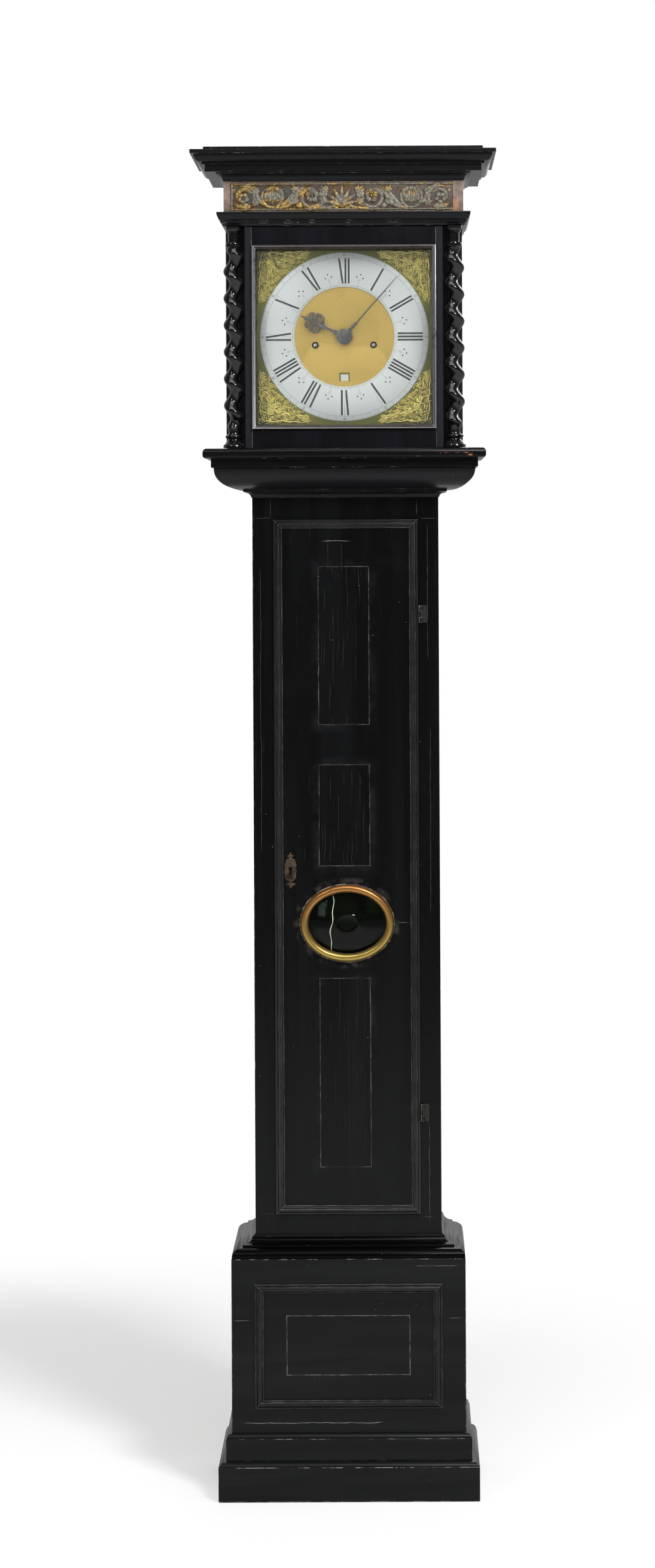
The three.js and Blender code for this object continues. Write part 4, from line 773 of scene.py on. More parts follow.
def stile_marks(place):
    """A joint down each stile of the hood door, with a sheen outside it."""
    middle = hood_middle_z * mm
    joints = [(x, middle - 0.18, middle + 0.18, 0.0005, 0.0004) for x in (-0.1432, 0.1428)]
    return cracks(place, joints) * 0.5, ramp(abs(split(place)[0]), 0.1425, 0.1445) * 1.3


print("all marks ready")

# %% Black finishes
lip_z = centre_of("hood_base").z * mm + 0.0015
lip = dict(run="X", crazed=0.3, wear=0.46, worn="7b7873")
moulded = dict(run="X", dark="0c0d0e", light="171819", gloss=0.3, clouds=0.3, worn="8c8983")
ebony_upright = ebonised("ebonised_upright", crazed=0.5)
ebony_across = ebonised("ebonised_across", dark="0f0f11", light="1a1b1d", shine=0.14, **lip)
# painted shade: the waist moulding gets its own darker, duller copy of the black, with less wear
ebony_waist_shaded = ebonised("ebonised_waist_painted_shade", run="X", dark="030304", light="060607", crazed=0.15, clouds=0.15,
                       wear=0.4, gloss=0.2, shine=0.05, worn="6b6863")
ebony_hood_side = ebonised("ebonised_hood_side", crazed=0.6, clouds=0.6, marks=front_marks)
ebony_lip = ebonised("ebonised_lip", shine=0.13, bare=(lip_z, lip_z + 0.005, 0.03, 0.2, 0.58), **lip)
ebony_door = ebonised("ebonised_door", crazed=0.36, clouds=0.5, marks=door_marks, foot=0.5)
ebony_trunk = ebonised("ebonised_trunk", crazed=0.38, marks=trunk_marks, foot=0.5)
ebony_stile = ebonised("ebonised_hood_door", dark="08080b", light="101117", crazed=0.2, gloss=0.24,
                       clouds=0.55, shine=0.2, marks=stile_marks)
# the door's reeds have wide pale arris wear: partly real wear, partly painted highlight for the glints along
# the reeds
ebony_reed = ebonised("ebonised_reeds", dark="08090a", light="131416", worn="a09d98", wear=0.85, gloss=0.3,
                      shine=0.4, marks=reed_marks("trunk_door_moulding", (4.5, 9, 13.8)), foot=0.4)
ebony_turned = ebonised("ebonised_turned", light="0a0a0b", crazed=0.05, clouds=0.15, gloss=0.13, wear=0.3,
                        shine=0.42)
base_black = ebonised("ebonised_base", run="X", dark="0b0c0d", light="151617", gloss=0.36, crazed=0.2,
                      clouds=0.35, shine=0.15, marks=base_marks)
base_side = ebonised("ebonised_base_side", dark="0f1011", light="191a1b", gloss=0.38, crazed=0.3,
                     clouds=0.35, wear=0.6)
base_moulded = ebonised("ebonised_base_mouldings", crazed=0.12, wear=0.55, shine=0.14, **moulded)
plinth_black = ebonised("ebonised_plinth", crazed=0.12, wear=0.55, shine=0.14,
                        bare=(0.046, 0.0536, -0.226, -0.204, 0.4), **moulded)
base_reed = ebonised("ebonised_base_reeds", crazed=0.1, wear=0.8, shine=0.25,
                     marks=reed_marks("base_panel_moulding", (0.3, 4, 11, 13.3)), **moulded)
print("black finishes:", len([m for m in bpy.data.materials if m.name.startswith("ebonised")]))

# %% [markdown]
# ## Bare wood, metals, glass and gut
# Brass on a clock is lacquered gilt on the dial, plain and browning elsewhere; the chapter ring
# is brass rubbed with silver chloride, which is nearly white and quite matt. A metal needs a
# little uneven tarnish, or it looks like plastic. Glass is left clear so that the dial keeps its
# colour, and only the door's bull's-eye is green.

# %% Other finishes
def metal(name, colour, dull, rough=0.3, amount=0.4, scale=30.0, metallic=1.0, relief=0.15, edge=None):
    """Metal with patches of a dull colour; edge is a colour that its arrises are rubbed to."""
    material, place = begin(name)
    mask = tarnish(place, scale=scale, amount=amount)
    fine = tarnish(place, scale=scale * 4, amount=amount)["fine"]
    base = blend(mask, colour, dull)
    if edge:
        base = blend(arris_wear(place, wear=0.95), base, edge)
    dress(base, mask * 0.22 + rough + fine * 0.12, fine, relief, 0.0002, metallic)
    return material


plate_brass = metal("brass_works", "b8934d", "7d5e31", 0.3, 0.4, 14.0)
gilt = metal("brass_gilt", "bfb166", "4f4920", 0.3, 0.45, 90.0, relief=0.3)
silvered = metal("silvered_brass", "dde0df", "c5cac8", 0.42, 0.35, 16.0, 0.35, 0.05)
old_brass = metal("brass_brown", "6d5b4c", "352b25", 0.4, 0.55, 50.0)
hinge_black = metal("hinge_painted", "101011", "0a0a0b", 0.4, 0.5, 50.0, 0.0)
hinge_worn = metal("hinge_knuckle", "3a3734", "191817", 0.45, 0.5, 50.0, edge="a39c90")
# the sight moulding is polished black: this grey metal with pale arrises is its painted sheen and painted
# highlights, and the darker copy below is painted shade for its rails
sight_sheen = metal("sight_painted_sheen", "8b888b", "3b3a3d", 0.3, 0.45, 40.0, edge="dedad8")
bevel_brass = metal("bevelled_brass", "d9c67f", "8f7a3a", 0.24, 0.3, 60.0)
sight_rail_shade = metal("sight_rails_painted_shade", "3d393a", "201e1f", 0.32, 0.45, 40.0, edge="a39d9a")
blued = metal("blued_steel", "5b5d60", "5e4f3d", 0.32, 0.5, 90.0, 0.6)
steel = metal("steel_bright", "a6a8ab", "74736f", 0.22, 0.3, 50.0)
iron = metal("iron_dark", "4b4a49", "3a2c23", 0.5, 0.5, 60.0)
weight_brass = metal("brass_weights", "b08a46", "6d5226", 0.28, 0.45, 10.0)
bell_metal = metal("bell_metal", "cdb684", "8d7646", 0.25, 0.35, 20.0)

oak, place = begin("oak_bare")
pores = wood_grain(place)
colour = blend(ramp(pores["figure"], 0.3, 0.7), "5c3f27", "8a6540")
dress(blend(ramp(pores, 0.55, 0.7) * 0.5, colour, "2c1c11"), pores * 0.2 + 0.6, pores, 0.4, 0.0004)


def glass(name, colour, rough, index=1.45):
    """Old glass with a slow ripple and a thin film."""
    material, place = begin(name)
    film = ramp(noise(place, 30.0, 3.0), 0.3, 0.8, rough, rough + 0.03)
    dress(colour, film, noise(place, 9.0), 0.08, 0.002, **{"Transmission Weight": 1.0, "IOR": index})
    return material


def plain(name, colour, other, rough, scale):
    """A matt stuff of two near colours, such as wax or gut."""
    material, place = begin(name)
    spread = noise(place, scale, 4.0, 0.6)
    dress(blend(ramp(spread, 0.35, 0.65), colour, other), spread * 0.2 + rough, spread, 0.2, 0.0002)
    return material


clear_glass = glass("glass_clear", "fbfdfc", 0.0)
green_glass = glass("glass_green", "51695b", 0.02, 1.24)
wax = plain("black_wax", "2a2c2e", "3d4042", 0.45, 300.0)
fine_wax = plain("grey_wax", "6f7473", "8d9291", 0.5, 300.0)
gut = plain("gut_line", "a78452", "7d5e35", 0.5, 400.0)
print("finishes in all:", len(bpy.data.materials))

# %% [markdown]
# ## Case boards
# The boards of base, trunk and hood are plain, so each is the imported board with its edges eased
# by half a millimetre or so. Making them afresh would risk a gap at a joint; easing the packed
# board keeps every joint where the joiner put it.

# %% Boards
boards = [
    ("backboard", oak, 0.8, "oak"),
    ("base_left_side", base_side, 0.9, "ebonised_base"),
    ("base_right_side", base_side, 0.9, "ebonised_base"),
    ("base_front", base_black, 0.9, "ebonised_base"),
    ("trunk_left_side", ebony_upright, 0.7),
    ("trunk_right_side", ebony_upright, 0.7),
    ("trunk_front_frame", ebony_trunk, 0.7),
    ("seatboard", oak, 0.8, "oak"),
    ("trunk_door_board", ebony_door),
    ("hood_left_side", ebony_hood_side, 0.7),
    ("hood_right_side", ebony_hood_side, 0.7),
    ("hood_mask", ebony_upright),
    ("top_board", ebony_across, 1.2),
    ("hood_door_frame", ebony_stile),
]
for board in boards:
    eased(*board)
print("boards:", len(boards))

# %% [markdown]
# ## Moulding runs
# Mouldings are planed with a shaped iron, so one section runs along the side, mitres at the
# corner and crosses the front. Each is a section of (out, up) points swept round three sides.
# The curves get many points here, because a long black moulding shows every facet as a kink in
# its highlight.

# %% Round the case
def run_moulding(node, section, half, front, finish):
    run_piece(node, round_the_front(section, half, front), finish)


foot, top = levels("plinth_lower")
out = base_front_y - low["plinth_lower"].y
ledge = 53.8
lower = [(seam, foot), (out - 1.5, foot), (out, 1.5), (out, ledge), (out - 0.8, ledge),
         *arc(9, ledge, out - 9.8, top - ledge, 0, 90, 12), (seam, top)]
run_moulding("plinth_lower", lower, base_half, base_front_y, plinth_black)
foot, top = levels("plinth_upper")
out = base_front_y - low["plinth_upper"].y
ledge = top - 8
upper = [(seam, foot), (out, foot), (out, ledge), (out - 0.8, ledge),
         *arc(seam, ledge, out - seam - 1.1, top - ledge, 0, 90, 12)]
run_moulding("plinth_upper", upper, base_half, base_front_y, base_moulded)

foot, top = base_top + seam, high["waist_moulding"].z
tall, reach, step = top - foot, 35.8, 19.5
cove = foot + tall * 0.88
waist = [(seam, foot - 30), (18.7, foot - 30), (18.7, foot), (reach - 0.8, foot), (reach - 0.2, foot + 0.8),
         (reach, foot + 3.5), *arc(step, foot + 3.5, reach - step, tall * 0.47 - 3.5, 4, 90, 14),
         (step, foot + tall * 0.56), *arc(step, cove, 14.8, tall * 0.32, 262, 180, 12),
         (3.5, cove + 1.2), (0.7, top), (seam, top)]
run_moulding("waist_moulding", waist, trunk_half, trunk_front_y, ebony_waist_shaded)

foot, top = levels("throat_moulding")
reach = trunk_front_y - low["throat_moulding"].y
cove, fillet = foot + 9, foot + 13
throat = [(seam, foot), (1.2, foot), *arc(13.5, foot, 11.9, 9, 172, 100, 8), (13.5, cove), (13.5, fillet),
          *arc(15, top - 3, reach - 15, top - 3 - fillet, 270, 360, 18), (reach, top), (seam, top)]
run_moulding("throat_moulding", throat, trunk_half, trunk_front_y, ebony_across)
print("mouldings of the case: 4")

# %% [markdown]
# The hood's own runs follow the same way. The base of the hood carries a rounded nosing; the
# architrave, frieze and cornice stand on the hood's body and are open at the back.

# %% Round the hood
foot, top = levels("hood_base")
inner = 1.5
fascia = 61.25
reach = trunk_front_y - low["hood_base"].y
nosing_z = foot + 14.4
nosing = [(inner, foot), (fascia, foot), (fascia, nosing_z), (reach - 4, nosing_z),
          *arc(reach - 4, nosing_z + 4, 4, 4, 280, 360, 6), *arc(reach - 6, top - 7, 6, 7, 0, 80, 7),
          (reach - 6, top), (inner, top)]
run_moulding("hood_base", nosing, trunk_half, trunk_front_y, ebony_lip)

foot, top = levels("architrave")
rise = (top - foot + seam) / 5
inner, proud, outer = -14.0, 4.0, 13.0
span = outer - proud
steps = [(0.0, 0.3), (0.1, 1.0), (0.28, 1.1), (0.36, 2.0), (0.55, 2.2)]
steps += [(0.62 + 0.3 * (i / 8) ** 0.8, 2.35 + 1.4 * i / 8) for i in range(9)]
architrave = [(inner, foot), (proud - 1, foot), *[(proud + span * a, foot + rise * b) for a, b in steps],
              (outer, foot + rise * 4.1), (outer, top), (inner, top)]
run_moulding("architrave", architrave, hood_half, hood_front_y, ebony_across)

foot, top = levels("cornice")
tall = top - foot + seam
reach = hood_front_y - low["cornice"].y
cove, fascia, fillet, ovolo = (foot + tall * share for share in (0.24, 0.51, 0.58, 0.86))
cornice = [(inner, foot), (2.6, foot), *arc(14, foot, 10.6, tall * 0.24, 172, 95, 9), (14, cove + 1.6),
           (reach - 22.25, cove + 1.6), (reach - 22.25, fascia), (reach - 17.6, fascia),
           (reach - 17.6, fillet), *arc(reach - 17, ovolo, 11.4, tall * 0.28, 275, 358, 12),
           (reach - 5.6, ovolo), (reach, ovolo), (reach, top), (inner, top)]
run_moulding("cornice", cornice, hood_half, hood_front_y, ebony_across)
print("mouldings of the hood: 3")

# %% [markdown]
# Three frames are mitred at four corners instead: the raised panel moulding of the base, the
# reeded border of the trunk door and the sight moulding round the dial, in grey metal for its
# painted sheen. Their rounded reeds come from half circles in the section.

# %% Mitred frames
def frame_moulding(node, section, finish, ease=0.2):
    half = half_of(node)
    swept = round_a_panel(section, half.x, half.z, centre_of(node).z, high[node].y + seam)
    return run_piece(node, swept, finish, ease)


def reed(left, right, proud, foot, steps=6):
    """A half-round bead between two places across a section, from outside to inside."""
    return arc((left + right) / 2, foot, (left - right) / 2, proud - foot, 0, 180, steps)


door_reeds = [(0, seam), (0, 2.4), *reed(0, -4.4, 4.9, 3.0), (-4.5, 5.2), *reed(-4.6, -8.9, 8.0, 5.6),
              (-9.0, 4.6), *reed(-9.1, -12.0, 5.0, 3.9), (-12.1, 2.4), *reed(-12.2, -14, 3.0, 2.0),
              (-14, seam)]
frame_moulding("trunk_door_moulding", door_reeds, ebony_reed)
panel_ogee = [(0, seam), (0, 2.2), *reed(0, -3.6, 3.7, 2.2), (-3.8, 4.2), *reed(-4.2, -10.9, 7.8, 5.0, 8),
              (-11.2, 4.4), *reed(-11.3, -13.5, 4.6, 3.2), (-13.5, seam)]
frame_moulding("base_panel_moulding", panel_ogee, base_reed)
print("mitred frames: 2")

# %% [markdown]
# ## Flat metalwork
# Escutcheons and hands are sawn from sheet and filed to a soft edge. A filled curve with a depth
# and a bevel makes that kind of plate directly, holes and all, where cutting holes from a slab
# would leave ragged corners. The curve is made a mesh and then stood upright on the front.

# %% Plates from outlines
def between(a, b, c, d, share):
    """The point at a share of the way from b to c on a smooth curve through four points."""
    return 0.5 * (2 * b + (c - a) * share + (2 * a - 5 * b + 4 * c - d) * share ** 2
                  + (3 * b - a - 3 * c + d) * share ** 3)


def rounded(points, steps):
    """A closed outline through the points with smooth turns between them."""
    points = [Vector(point) for point in points]
    near = [[points[(i + k) % len(points)] for k in (-1, 0, 1, 2)] for i in range(len(points))]
    return [tuple(between(*four, j / steps)) for four in near for j in range(steps)]


def rectangle(x0, x1, y0, y1):
    return [(x0, y0), (x1, y0), (x1, y1), (x0, y1)]


def spline_of(curve, points):
    """A new line of the curve with its points, each (x, y, z) in metres."""
    spline = curve.splines.new("POLY")
    spline.points.add(len(points) - 1)
    for point, place in zip(spline.points, points):
        point.co = (*place, 1)
    return spline


def sheet_plate(outlines, thick, bevel, front, steps=1):
    """A plate in X and Z whose face is at front and whose back is a thickness behind it."""
    curve = bpy.data.curves.new("plate", "CURVE")
    curve.dimensions = "2D"
    curve.fill_mode = "BOTH"
    curve.extrude = (thick / 2 - bevel) * mm
    curve.bevel_depth, curve.offset, curve.bevel_resolution = bevel * mm, -bevel * mm, steps
    for outline in outlines:
        spline_of(curve, [(x * mm, y * mm, 0) for x, y in outline]).use_cyclic_u = True
    mesh = evaluated_mesh(shown("plate", curve))
    upright = Matrix.Rotation(radians(90), 4, "X")
    mesh.transform(Matrix.Translation((0, (front + thick / 2) * mm, 0)) @ upright)
    settle(mesh, 2e-6)
    smooth_below(mesh, 40)
    return mesh


print("plate helpers ready")

# %% [markdown]
# ## Trunk door fittings
# The oval ring is spun brass with a thin dark fillet outside the bright roll. The bull's-eye
# behind it is the centre of a blown disc, so it swells and still shows the ring where the iron
# rod broke off. Both are swept from a section round the oval, which keeps the roll even.

# %% Ring and bull's-eye
ring_half = half_of("lenticle_ring")
roll = [(0.0, 0.3), (0.0, 1.8), (0.3, 2.2), (0.8, 2.3), (1.1, 2.0),
        *arc(7.5, 2.0, 6.4, 8.8, 180, 0, 16)[1:-1], (13.9, 2.0), (14.0, 0.3)]
ring_brass, place = begin("brass_bezel")
x, y, z = split(place)
mask = tarnish(place, scale=26.0, amount=0.34)
# painted reflection: the roll goes orange-brown towards the top and olive gold towards the bottom, as
# ceiling and floor would reflect in it
painted_reflection_up = ramp(z, (glass_z - ring_half.z) * mm, (glass_z + ring_half.z) * mm)
colour = blend(mask * 0.6, blend(painted_reflection_up, "a38d49", "9b6c3b"), "6b4d22")
fillet = ramp(y, trunk_front_y * mm - 0.0026, trunk_front_y * mm - 0.0021)
rim_colour = blend(ramp(noise(place, 120.0, 3.0, 0.7), 0.52, 0.6), "15130f", "8a8678")
dress(blend(fillet, colour, rim_colour), mask * 0.2 + fillet * 0.3 + 0.3, metallic=0.8 - fillet * 0.8)
ring_mesh = mesh_of("ring", *round_an_oval(roll, ring_half.x, ring_half.z, glass_z, trunk_front_y, 160), 50)
placed("lenticle_ring_spun", ring_mesh, "lenticle_ring", ring_brass)

glass_half = half_of("lenticle_glass")
dome, thick, steps = 9.0, 3.0, 34
clear = 1 - 4.5 / glass_half.z  # share of the half height that the ring leaves open


def swell(share):
    """How far the glass stands out at a share of the way from its middle to its clear edge."""
    broken_ring = 1.5 * exp(-((share - 0.3) / 0.04) ** 2)
    hollow = 0.9 * exp(-(share / 0.2) ** 2)
    return dome * (1 - share ** 2) + broken_ring - hollow


shares = [i / steps for i in range(steps + 1)]
lens = [(share * clear, -swell(share)) for share in shares] + [(1.0, 0.0), (1.0, thick)]
lens += [(share * clear, thick - dome * (1 - share ** 2)) for share in reversed(shares)]
vertices, faces = turned(lens, (0, 0, 0), "Y", 96)
vertices = [(v.x * glass_half.x, v.y + trunk_front_y, v.z * glass_half.z + glass_z) for v in vertices]
lens_mesh = mesh_of("lens", vertices, faces, 50)
placed("lenticle_bulls_eye", lens_mesh, "lenticle_glass", green_glass)
print("bull's-eye: %.0f x %.0f mm" % (2 * glass_half.x, 2 * glass_half.z))

# %% Crack in the glass
crack_x, crack_long, steps = -23.5, 86, 40
rings = []
for i in range(steps + 1):
    t = i / steps
    x, z = crack_x + 2.2 * sin(5.5 * t + 0.6) + 1.1 * sin(17 * t), (0.5 - t) * crack_long
    share = hypot(x / glass_half.x, z / glass_half.z) / clear
    y = trunk_front_y - dome * (1 - min(share, 1.0) ** 2)
    wide = 1.5 * (0.18 + 0.34 * sin(pi * t) ** 0.5 * (1 + 0.4 * sin(23 * t)))
    rings.append([(x + side * wide, y + back, glass_z + z) for side, back in
                  ((-1, -0.05), (1, -0.05), (0.6, 2.2), (-0.6, 2.2))])
pale_crack = plain("glass_fracture", "c6cbaa", "98a184", 0.35, 160.0)
crack_mesh = mesh_of("crack", *sweep(rings, False), None)
placed("lenticle_crack", crack_mesh, None, pale_crack, "trunk_door")
print("crack in the glass: %d mm long" % crack_long)

# %% [markdown]
# The escutcheon is a small winged plate, thin at the points and pierced by the keyhole. A second,
# smaller oval stands on it round the hole. Its nails are modelled, because two bright nail heads
# are what show in the photograph.

# %% Escutcheon, hinges and lock
keyhole_x, _, keyhole_z = centre_of("escutcheon")
face = high["escutcheon"].y
half, tall = 9.5, 28.5
edge = [(0, 1), (0.13, 0.94), (0.12, 0.87), (0.42, 0.84), (0.5, 0.77), (0.2, 0.72), (0.3, 0.65),
        (0.72, 0.58), (0.8, 0.45), (0.98, 0.3), (0.9, 0.14), (1.0, -0.04), (0.9, -0.2), (0.94, -0.36),
        (0.72, -0.5), (0.34, -0.6), (0.22, -0.68), (0.78, -0.72), (0.7, -0.8), (0.26, -0.86),
        (0.12, -0.94), (0, -1)]
right = [(u * half, v * tall) for u, v in edge]
outline = rounded(right + [(-x, z) for x, z in reversed(right[1:-1])], 3)
keyhole = arc(0, 2.5, 3.1, 3.1, -50, 230, 14) + [(-1.7, -8.5), (1.7, -8.5)]
boss = arc(0, -1.0, 6.6, 11.5, 0, 360, 48)[:-1]


def at_keyhole(*outlines):
    return [[(x + keyhole_x, z + keyhole_z) for x, z in line] for line in outlines]


nail = [(0, -1.35), (0.7, -1.25), (1.2, -0.9), (1.3, 0.0), (0, 0.0)]
parts = [sheet_plate(at_keyhole(outline, keyhole), 1.0, 0.3, face - 1.0),
         sheet_plate(at_keyhole(boss, keyhole), 0.5, 0.2, face - 1.4),
         *[lathe(nail, (keyhole_x, face - 0.9, keyhole_z + up), "Y", 16) for up in (22.5, -23.0)]]
placed("escutcheon_sawn", parts, "escutcheon", old_brass)
knuckle_x, knuckle_half = 117.5, 3.2
for leaf_side in ("stile", "door"):
    for height in ("upper", "lower"):
        hinge = eased("door_hinge_%s_%s_leaf" % (height, leaf_side), hinge_black, 0.3, "brass")
        hinge.data.materials.append(hinge_worn)
        for face in hinge.data.polygons:  # only the knuckles have lost their black
            face.material_index = int(abs(face.center.x - knuckle_x * mm) < knuckle_half * mm)
eased("lock_case", iron, 0.4, "iron")
eased("lock_bolt", steel, 0.4, "steel")
print("door fittings: ring, glass, escutcheon, 2 hinges and a lock")

# %% [markdown]
# ## Rules instead of copies
# Geometry Nodes hold the shapes that follow a rule: the twist of a column, strokes of a carving
# tool along a drawn line, marks and teeth round a centre. Each tree has named sizes, so the same
# tree serves both columns or all the wheels. The result is turned into a plain mesh before it
# joins the clock.

# %% Geometry trees
def rule(source=False, **inputs):
    """Turns the function below it into a geometry tree with named sizes; calling its name grows
    a plain mesh from some data."""
    def maker(build):
        tree = bpy.data.node_groups.new(build.__name__, "GeometryNodeTree")
        if source:
            add_socket(tree, "Geometry", "Geometry")
        kinds = {int: "Int", float: "Float", str: "Object"}
        for label, default in inputs.items():
            socket = add_socket(tree, label, kinds[type(default)])
            if not isinstance(default, str):
                socket.default_value = default
        add_socket(tree, "finish", "Material")
        add_socket(tree, "Geometry", "Geometry", "OUTPUT")
        bench.append(tree)
        start = put("NodeGroupInput")
        given = [start["Geometry"]] if source else []
        shape = build(*given, **{label: start[label] for label in inputs})
        shape = put("GeometryNodeRealizeInstances", {"Geometry": shape})
        shape = put("GeometryNodeSetMaterial", {"Geometry": shape, "Material": start["finish"]})
        put("NodeGroupOutput", {0: shape})

        def grow(data, **values):
            holder = shown(build.__name__, data)
            modifier = holder.modifiers.new("rule", "NODES")
            modifier.node_group = tree
            for item in tree.interface.items_tree:
                if item.in_out == "INPUT" and item.name in values:
                    modifier[item.identifier] = values[item.name]
            return evaluated_mesh(holder)
        return grow
    return maker


def here():
    return split(put("GeometryNodeInputPosition"))


def move_to(shape, x, y, z):
    return put("GeometryNodeSetPosition", {"Geometry": shape, "Position": join(x, y, z)})


print("tree helpers ready")

# %% [markdown]
# ## Barley-twist columns
# A twist column is turned as a plain cylinder and then cut by hand along a spiral. Its section
# stays a circle whose centre walks round the axis, once each pitch, and the walk fades out just
# before the turned foot and head. That is a rule with six sizes, so one tree makes both.

# %% Twist columns
@rule(height=0.28, radius=0.011, offset=0.005, pitch=0.0416, turn=0.0, rows=230)
def barley_twist(height, radius, offset, pitch, turn, rows):
    cylinder = put("GeometryNodeMeshCylinder", {"Vertices": 44, "Side Segments": rows, "Radius": 1.0,
                                                "Depth": height}, "Mesh")
    x, y, z = here()
    drop = height * 0.5 - z
    fade = calc("DIVIDE", calc("MINIMUM", height * 0.5 + z, drop), pitch * 0.25, clamp=True)
    angle = (turn + drop / pitch) * (2 * pi)
    walk = offset * fade
    thick = fade * 0.001 + (radius - 0.001)
    return move_to(cylinder, x * thick + walk * calc("COSINE", angle),
                   y * thick + walk * calc("SINE", angle), z)


column = centre_of("column_right")
column_foot, column_top = levels("column_right")
foot_turning = [(0, 0), (17.2, 0), (17.2, 4.2), (16.7, 4.8), (14.8, 6.2), (12.6, 9.3), (11.2, 10.8),
                (10.1, 12), (10, 14.2), (11.4, 14.6), (13, 15.4), (13.8, 17), (13.8, 18.4), (13, 19.9),
                (11.2, 20.6), (9.7, 21.2), (8.9, 23.2), (8.7, 26), (9.2, 29), (10, 31.2), (9.4, 32.5),
                (0, 32.5)]
head_turning = [(0, 35.5), (9.4, 35.5), (9.9, 34), (10.8, 32.6), (12.3, 31.7), (12.6, 30.4), (12.6, 27),
                (12.2, 25.8), (10.2, 25.2), (8.7, 24.2), (8.4, 20), (8.5, 10.8), (9.6, 10.4), (10.4, 9.6),
                (10.3, 8.6), (9.7, 8.1), (11, 6.9), (12.2, 4.8), (12.6, 3.8), (12.6, 0), (0, 0)]
tall = column_top - column_foot - 65
for node, side, turn in (("column_left", -1, 0.654), ("column_right", 1, 0.255)):
    axis = (side * column.x, column.y)
    shaft = barley_twist(bpy.data.meshes.new("shaft"), height=tall * mm, turn=turn, finish=ebony_turned)
    shaft.transform(Matrix.Translation(Vector((*axis, column_foot + 31 + tall / 2)) * mm))
    parts = [lathe(foot_turning, (*axis, column_foot), "Z", 48),
             lathe([(radius, -drop) for radius, drop in head_turning], (*axis, column_top), "Z", 48), shaft]
    whole = placed(node + "_turned", parts, node, ebony_turned)
    smooth_below(whole.data, 40)
print("columns: %.0f mm of twist" % tall)

# %% [markdown]
# ## Sight moulding and glass
# The thin moulding round the dial opening is polished black, and its sheen is painted. Its arrises
# are the brightest lines on the hood, so its finish is a grey metal that goes to a pale silver
# wherever the "arris" attribute says edge, a painted highlight; its rails get a darker copy, painted shade.

# %% Sight moulding and panes
sight = [(0, seam), (0, 3), (-0.5, 3.9), (-1.5, 4.75), (-2.3, 5.1), (-3.1, 4.9), (-3.9, 3.7), (-4.6, 3.3),
         (-6.0, 2.9), (-6.9, 2.3), (-7.5, 1.5), (-7.5, seam)]
sight_run = frame_moulding("hood_door_moulding", sight, sight_sheen, 0.35)
sight_run.data.materials.append(sight_rail_shade)
# painted shade on the rails, painted sheen on the uprights
for face in sight_run.data.polygons:  # the rails of this frame are darker than its uprights
    face.material_index = int(abs(face.center.z - hood_middle_z * mm) > abs(face.center.x))
for where in ("door", "left", "right"):
    eased("hood_%s_glass" % where, clear_glass, 0.2, "clear_glass")
print("panes: 3")

# %% [markdown]
# ## Carved frieze
# The carver draws scrolls, leaves and flowers and cuts each lobe with one sweep of the gouge. So
# the carving here is drawn the same way: every lobe is a stroke, a line with a width that swells
# and thins, and one tree turns all strokes into rounded bodies of a set relief. Both the wooden
# frieze and the cast corners of the dial are made from such strokes.

# %% Strokes
@rule(source=True, relief=1.0, face=0.0, sides=8)
def carved_strokes(line, relief, face, sides):
    profile = put("GeometryNodeCurvePrimitiveCircle", {"Resolution": sides, "Radius": 1.0}, "Curve")
    solid = put("GeometryNodeCurveToMesh", {"Curve": line, "Profile Curve": profile, "Fill Caps": True,
                                            "Scale": put("GeometryNodeInputRadius")})
    x, y, z = here()
    return move_to(solid, x, calc("MINIMUM", y, 0.0) * relief + calc("MAXIMUM", y, 0.0) * 0.2 + face, z)


def drawn_line(points, widths, steps=9):
    """A smooth line of (x, z, width) through the points; the widths are spread along it."""
    points = [Vector(point) for point in points]
    dense, last, last_width = [], len(points) - 1, len(widths) - 1
    for i in range(steps + 1):
        t = min(i / steps * last, last - 1e-6)
        k = int(t)
        spot = between(points[max(k - 1, 0)], points[k], points[k + 1], points[min(k + 2, last)], t - k)
        w = min(i / steps * last_width, last_width - 1e-6)
        j = int(w)
        dense.append((spot.x, spot.y, widths[j] + (widths[j + 1] - widths[j]) * (w - j)))
    return dense


print("strokes ready")

# %% Leaves, flowers and scrolls
def lobe(x, z, angle, length, wide, curl=0.0, steps=7):
    """One gouge sweep from a place, in degrees, that swells and curls to its tip."""
    a = radians(angle)
    points = [(x, z)]
    for i in range(3):
        points.append((points[-1][0] + length / 3 * cos(a), points[-1][1] + length / 3 * sin(a)))
        a += radians(curl) / 3
    return drawn_line(points, [wide * 0.35, wide * 0.9, wide, wide * 0.75, wide * 0.12], steps)


def leaf(x, z, angle, length, wide, lobes=3, spread=32, curl=0.0):
    """An acanthus leaf: a long middle lobe with shorter ones curling away on both sides."""
    return [lobe(x, z, angle, length, wide, curl)] + [
        lobe(x, z, angle + side * spread * k * 0.62, length * (1 - 0.2 * k), wide * 0.9, curl + side * 38)
        for k in range(1, lobes + 1) for side in (-1, 1)]


def flower(x, z, radius, petals=5, start=90):
    strokes = []
    for k in range(petals):
        turn = start + 360 * k / petals
        a = radians(turn)
        strokes.append(lobe(x + 0.25 * radius * cos(a), z + 0.25 * radius * sin(a), turn,
                            radius * 0.8, radius * 0.36, 0, 5))
    eye = drawn_line([(x - radius * 0.2, z), (x + radius * 0.2, z)], [0.1, radius * 0.26, 0.1], 6)
    return strokes + [eye]


def scroll(x, z, radius, start, turning, wide, tight=0.45, steps=22):
    """A stroke that turns round a centre and draws in to a share of its radius."""
    points = []
    for i in range(steps + 1):
        t = i / steps
        a, r = radians(start + turning * t), radius * (1 - (1 - tight) * t ** 1.4)
        swelling = 0.55 + 0.45 * sin(pi * min(t * 1.3, 1))
        points.append((x + r * cos(a), z + r * sin(a), wide * swelling))
    return points


def mirrored(strokes):
    return strokes + [[(-x, z, w) for x, z, w in line] for line in strokes]


print("leaves ready")

